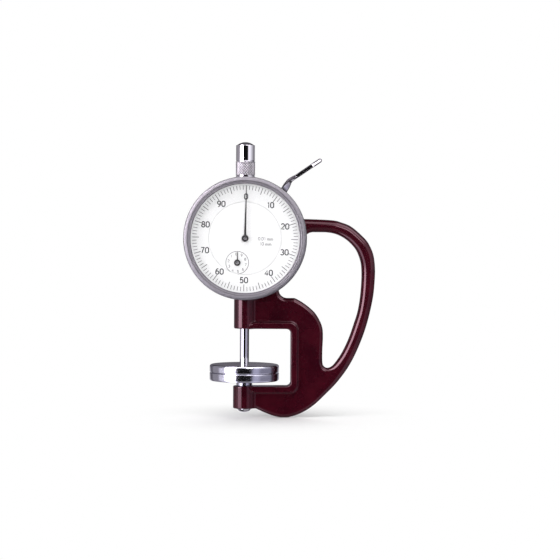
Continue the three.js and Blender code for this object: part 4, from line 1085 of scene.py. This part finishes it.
def lever_blade():
    """A strip that follows the blade's path and turns from flat to edge-on near its root."""
    points = [polar(LEVER_PIVOT, 5.4, LEVER_EXIT)]
    for x, z in LEVER_BLADE_SHARES:
        points.append((LEVER_PIVOT[0] + x * LEVER_REACH, LEVER_PIVOT[1] + z * LEVER_REACH))
    path = spline(points, 14)
    lengths = [0.0]
    for a, b in zip(path, path[1:]):
        lengths.append(lengths[-1] + math.dist(a, b))
    middle = (LEVER_FRONT + LEVER_BACK) / 2
    verts, rings, painted_sheen = [], [], []
    for i, (x, z) in enumerate(path):
        left = lengths[-1] - lengths[i]
        turn_by = -math.pi / 2 * smooth(lengths[i] / lengths[-1], 0, 0.47)
        widen = smooth(lengths[i], 7, 12)
        pad = 1 - smooth(left, 3.8, 4.6)
        half = 1.5 + 0.8 * widen
        thin = 0.5 + 0.35 * smooth(lengths[i], 5, 12) + 0.05 * pad
        tip = max(1 - left / thin, 0)
        thin *= math.sqrt(max(1 - tip * tip, 0.03))
        a, b = path[max(i - 1, 0)], path[min(i + 1, len(path) - 1)]
        size = math.dist(a, b)
        tx, tz = (b[0] - a[0]) / size, (b[1] - a[1]) / size
        # The pad's front edge leans, so that it faces up as well as forward.
        lean = 0.7 * pad * thin
        section = [(-half, -thin), (half, -thin), (half - lean, thin), (-half, thin)]
        corners = rounded(section, 0.22 + 0.12 * pad, True, 2)
        # The last stretch before the tip gets no painted sheen: it is painted dark.
        far = 0 if left < 0.7 else 1
        # Painted sheen of the section's four faces, which changes along the blade.
        shines = [
            max(0.8 * (1 - smooth(lengths[i], 7.5, 10.5)), 0.85 * smooth(lengths[i], 9.6, 11)),
            smooth(lengths[i], 9.6, 10.6) * far, 0.85 * far, 0.85 * far,
        ]
        ring = []
        for side, shine in enumerate(shines):
            ring += [(*point, 0.0) for point in corners[3 * side : 3 * side + 3]]
            ring += between(corners[3 * side + 2], corners[(3 * side + 3) % 12], 0.1 + 0.12 * pad, shine)
        rings.append(range(len(verts), len(verts) + len(ring)))
        for wide, deep, shine in ring:
            across, away = leaned((0, 0), wide, deep, turn_by)
            verts.append(at(x - tz * across, middle + away, z + tx * across))
            painted_sheen.append(shine)
    faces = joined(rings, len(rings[0])) + [list(rings[0])[::-1], list(rings[-1])]
    return verts, outward(verts, faces), painted_sheen


def make_lever():
    arm_end = polar(LEVER_PIVOT, LEVER_PIVOT[0] + 1.3, 180 + 22)
    exit_end = polar(LEVER_PIVOT, 5.6, LEVER_EXIT)
    hub = [(1.05, LEVER_FRONT), (2.3, LEVER_FRONT), (2.3, LEVER_BACK), (1.05, LEVER_BACK)]
    parts = [
        turn(rounded(hub, 0.12), LEVER_PIVOT, "y", 48),
        slab(bar_outline(LEVER_PIVOT, arm_end, 1.0, 1.6), LEVER_FRONT + 0.02, LEVER_BACK - 0.02),
        slab(bar_outline(LEVER_PIVOT, exit_end, 1.45, 1.6), LEVER_FRONT + 0.01, LEVER_BACK - 0.01),
    ]
    plain = sum(len(verts) for verts, _ in parts)
    *blade, painted_sheen = lever_blade()
    verts, faces = gather([*parts, blade])
    lever = make_piece("thumb_lever", verts, faces, "lever", "lever", "chrome_plate", ["lift_lever"], 45)
    # The hub and arms get the full painted sheen.
    give_shares(lever, "painted_sheen", [1.0] * plain + painted_sheen)


def bar_outline(start, end, half, skip):
    """A bar with a round far end, begun at skip out from start, so that a bored hub stays clear."""
    size = math.dist(start, end)
    tx, tz = (end[0] - start[0]) / size, (end[1] - start[1]) / size
    near = (start[0] + tx * skip, start[1] + tz * skip)
    angle = math.degrees(math.atan2(tz, tx))
    return [
        (near[0] + tz * half, near[1] - tx * half),
        *arc(end, half, angle - 90, angle + 90, 12),
        (near[0] - tz * half, near[1] + tx * half),
    ]


# Back cover and its screws

def make_back_cover():
    front, back = node_y("back_cover")
    radius = node_radius("back_cover")
    profile = [(0, front), (radius, front), (radius, back - 0.35), (radius - 0.35, back), (0, back)]
    cover = turned_piece("rear_cover", profile, "cover", "root", "ground_steel", ["back_cover"],
                         centre=(0, DIAL), segments=256, edge=0.08)
    sink = [(0, front - 1), (1.1, front - 1),
            *shifted(0, back, [(1.1, -0.8), (1.8, -0.8), (1.95, 1), (0, 1)])]
    places = [polar((0, DIAL), 21.0, 90 * i) for i in range(4)]
    carve(cover, *(turn(sink, place, "y", 48) for place in places))
    for i, place in enumerate(places):
        node = f"cover_screw_{i + 1}"
        low, high = node_y(node)
        head = [
            *shifted(0, high, [
                (0, 0), (0.7, -0.04), (1.25, -0.16), (1.5, -0.34), (1.5, -0.7), (0.8, -0.7),
            ]),
            *shifted(0, low, [(0.8, 0.2), (0.6, 0), (0, 0)]),
        ]
        screw = turned_piece(f"rear_screw_{i + 1}", head, "steel", "root", "steel", [node],
                             centre=place, segments=64, edge=0.05)
        carve(screw, slot_tool(place, high, 25 + 67 * i))


def slot_tool(place, face, degrees):
    corners = ((-2, -0.22), (2, -0.22), (2, 0.22), (-2, 0.22))
    outline = [leaned(place, along, across, math.radians(degrees)) for along, across in corners]
    return slab(outline, face - 0.35, face + 1)


# Carried-over nodes keep their shape and get a finish

SLOT_FINISH = {
    "enamel": "enamel", "chrome_plate": "chrome", "ground_steel": "disc", "steel": "steel",
    "brass": "brass", "dial_white": "dial", "pointer_black": "black", "crystal": "pane",
}


def finish_nodes():
    slots = {part["node"]: part["material_slot"] for part in frame["record"]["subparts"]}
    for name, node in frame["nodes"].items():
        node.data.materials.clear()
        # Painted light: the spacer ring gets the dial's white instead of steel, to lift the shade next to
        # the bezel.
        finish = "dial" if name == "spacer_ring" else SLOT_FINISH[slots[name]]
        node.data.materials.append(MATERIALS[finish])
        shade(node.data, 30)


# Stage, lights and camera

LENS, SHIFT, ROLL = 112.9, (0.06236, -0.07444), 0.32
CAMERA_DISTANCE = 0.760
FLOOR_SIZE, SHADOW_REACH = 6.0, 0.075
FILL = 0.3
STUDIO_RADIUS, STUDIO_DARK = 1.5, 0.008
# What polished metal and enamel see round them. Each card: its azimuths from the camera's side, its
# elevations, the softness of its sides in degrees, and its colour times brightness.
CARDS = [
    ((-67, -30), (-5, 62), (3, 3), (7.2, 6.6, 6.9)),
    ((-67, -30), (-62, 62), (3, 6), (3.5, 3.35, 3.8)),
    ((-130, -67), (-45, 70), (6, 8), (0.36, 0.34, 0.37)),
    ((-92, -67), (-50, -0.5), (5, 1), (0.6, 0.58, 0.64)),
    ((33, 58), (-0.5, 70), (5, 1), (1.2, 1.17, 1.24)),
    ((58, 72), (-0.5, 70), (5, 1), (1.05, 1.03, 1.1)),
    ((72, 87), (-0.5, 70), (5, 1), (0.75, 0.74, 0.79)),
    ((87, 106), (-0.5, 70), (5, 1), (0.5, 0.49, 0.53)),
    ((106, 152), (-0.5, 70), (5, 1), (0.26, 0.25, 0.27)),
    ((26, 51), (-50, -0.5), (7, 1), (0.56, 0.55, 0.68)),
    ((51, 100), (-50, -0.5), (6, 1), (0.3, 0.29, 0.36)),
    ((100, 140), (-50, -0.5), (6, 1), (0.05, 0.045, 0.05)),
    ((8, 27), (11, 27), (3, 3), (7.0, 6.6, 6.9)),
    ((-40, 80), (32, 68), (8, 6), (2.9, 2.8, 2.9)),
    ((-30, 110), (-95, -24), (10, 8), (0.36, 0.35, 0.37)),
    ((-190, -130), (-95, 20), (5, 6), (0.14, 0.13, 0.15)),
    ((-190, -140), (30, 70), (8, 6), (0.1, 0.095, 0.105)),
    ((140, 190), (30, 70), (8, 6), (0.1, 0.095, 0.105)),
    ((144, 190), (-95, 20), (5, 6), (0.17, 0.16, 0.18)),
    ((-190, -150), (-45, -6), (8, 4), (0.55, 0.54, 0.57)),
    ((150, 190), (-45, -6), (8, 4), (0.55, 0.54, 0.57)),
]


def seen_rays(tree):
    """1 for the rays that show the white background, 0 for those that light the gauge."""
    path = add(tree, "ShaderNodeLightPath").outputs
    direct = calculate(tree, "MAXIMUM", path["Is Camera Ray"], path["Is Glossy Ray"])
    return calculate(tree, "MAXIMUM", direct, path["Is Transmission Ray"])


def make_world():
    """White behind the gauge; a soft grey fill for what it lights."""
    world = bpy.data.worlds.new("studio")
    bpy.context.scene.world = world
    world.use_nodes = True
    tree = world.node_tree
    feed(tree, tree.nodes["Background"], {"Color": mix(tree, seen_rays(tree), (FILL,) * 3, (1, 1, 1))})


def stage_object(name, verts, faces, material):
    mesh = new_mesh(name, verts, faces)
    mesh.materials.append(material)
    thing = new_object(name, mesh)
    return thing


def make_floor():
    """Pale floor: near the gauge it takes the shadow, further off it runs into the white."""
    material, tree, shader = new_material("pale_floor")
    feed(tree, shader, {"Base Color": (0.9, 0.9, 0.9), "Roughness": 0.9, "Specular IOR Level": 0.0})
    place = add(tree, "ShaderNodeTexCoord").outputs["Object"]
    far = map_range(tree, length_of(tree, place), (0, SHADOW_REACH), (0, 1), "SMOOTHSTEP")
    share = calculate(tree, "MULTIPLY", far, seen_rays(tree))
    white = add(tree, "ShaderNodeEmission").outputs["Emission"]
    mixed = add(tree, "ShaderNodeMixShader", {0: share, 1: shader.outputs["BSDF"], 2: white})
    feed(tree, tree.nodes["Material Output"], {"Surface": mixed.outputs["Shader"]})
    corners = [(-1, -1), (1, -1), (1, 1), (-1, 1)]
    verts = [(x * FLOOR_SIZE, y * FLOOR_SIZE, 0) for x, y in corners]
    floor = stage_object("floor", verts, [(0, 1, 2, 3)], material)
    floor.location = (0.015, SPINDLE_Y, cad_low.z)
    floor.visible_glossy = False


def make_studio():
    """The cards and flags of the studio, as a shell that only glossy reflections see."""
    material, tree, _ = new_material("studio_cards")
    x, y, z = split_axes(tree, add(tree, "ShaderNodeTexCoord").outputs["Object"])
    ahead = calculate(tree, "MULTIPLY", y, -1.0)
    azimuth = calculate(tree, "DEGREES", calculate(tree, "ARCTAN2", x, ahead))
    squares = [calculate(tree, "MULTIPLY", axis, axis) for axis in (x, y)]
    level = calculate(tree, "SQRT", calculate(tree, "ADD", *squares))
    elevation = calculate(tree, "DEGREES", calculate(tree, "ARCTAN2", z, level))
    total = (STUDIO_DARK,) * 3
    for azimuths, elevations, (side, end), colour in CARDS:
        across = band_share(tree, azimuth, *azimuths, side)
        along = band_share(tree, elevation, *elevations, end)
        inputs = {0: colour, "Scale": calculate(tree, "MULTIPLY", across, along)}
        card = add(tree, "ShaderNodeVectorMath", inputs, operation="SCALE").outputs["Vector"]
        total = add(tree, "ShaderNodeVectorMath", {0: total, 1: card}, operation="ADD").outputs["Vector"]
    glow = add(tree, "ShaderNodeEmission", {"Color": total}).outputs["Emission"]
    feed(tree, tree.nodes["Material Output"], {"Surface": glow})
    ball = bmesh.new()
    bmesh.ops.create_uvsphere(ball, u_segments=64, v_segments=32, radius=STUDIO_RADIUS)
    verts = [tuple(v.co) for v in ball.verts]
    faces = [[v.index for v in face.verts] for face in ball.faces]
    ball.free()
    studio = stage_object("studio_cards", verts, faces, material)
    for rays in ("camera", "diffuse", "transmission", "shadow"):
        setattr(studio, f"visible_{rays}", False)


def make_light(name, azimuth, elevation, distance, size, power):
    lamp = bpy.data.lights.new(name, "AREA")
    lamp.shape = "RECTANGLE"
    lamp.size, lamp.size_y = size
    lamp.energy = power
    light = new_object(name, lamp)
    a, e = math.radians(azimuth), math.radians(elevation)
    away = Vector((math.sin(a) * math.cos(e), -math.cos(a) * math.cos(e), math.sin(e)))
    target = (cad_low + cad_high) / 2
    light.location = target + away * distance
    light.rotation_mode = "QUATERNION"
    light.rotation_quaternion = away.to_track_quat("Z", "Y")
    light.visible_glossy = False


def make_camera():
    data = bpy.data.cameras.new("camera")
    data.sensor_width = 36
    data.lens = LENS
    data.shift_x, data.shift_y = SHIFT
    data.clip_start, data.clip_end = 0.05, 20
    camera = new_object("camera", data)
    camera.location = (0, SPINDLE_Y - CAMERA_DISTANCE, 0)
    camera.rotation_euler = (math.pi / 2, -math.radians(ROLL), 0)
    bpy.context.scene.camera = camera


make_camera()
make_world()
make_floor()
make_studio()
make_light("left_softbox", -48, 10, 0.9, (0.4, 0.9), 4)
make_light("front_softbox", 4, 4, 1.0, (0.6, 0.6), 8.6)
make_light("top_softbox", 5, 60, 1.0, (0.7, 0.5), 4)
make_light("rear_softbox", 160, 25, 1.0, (0.8, 0.8), 8)

make_casting()
make_bezel()
make_dial_plates()
make_scale_print()
make_centre_print()
make_pointers()
make_cap()
make_spindle_group()
make_anvil()
make_lever()
make_back_cover()
finish_nodes()

bpy.context.scene.view_settings.view_transform = "Standard"
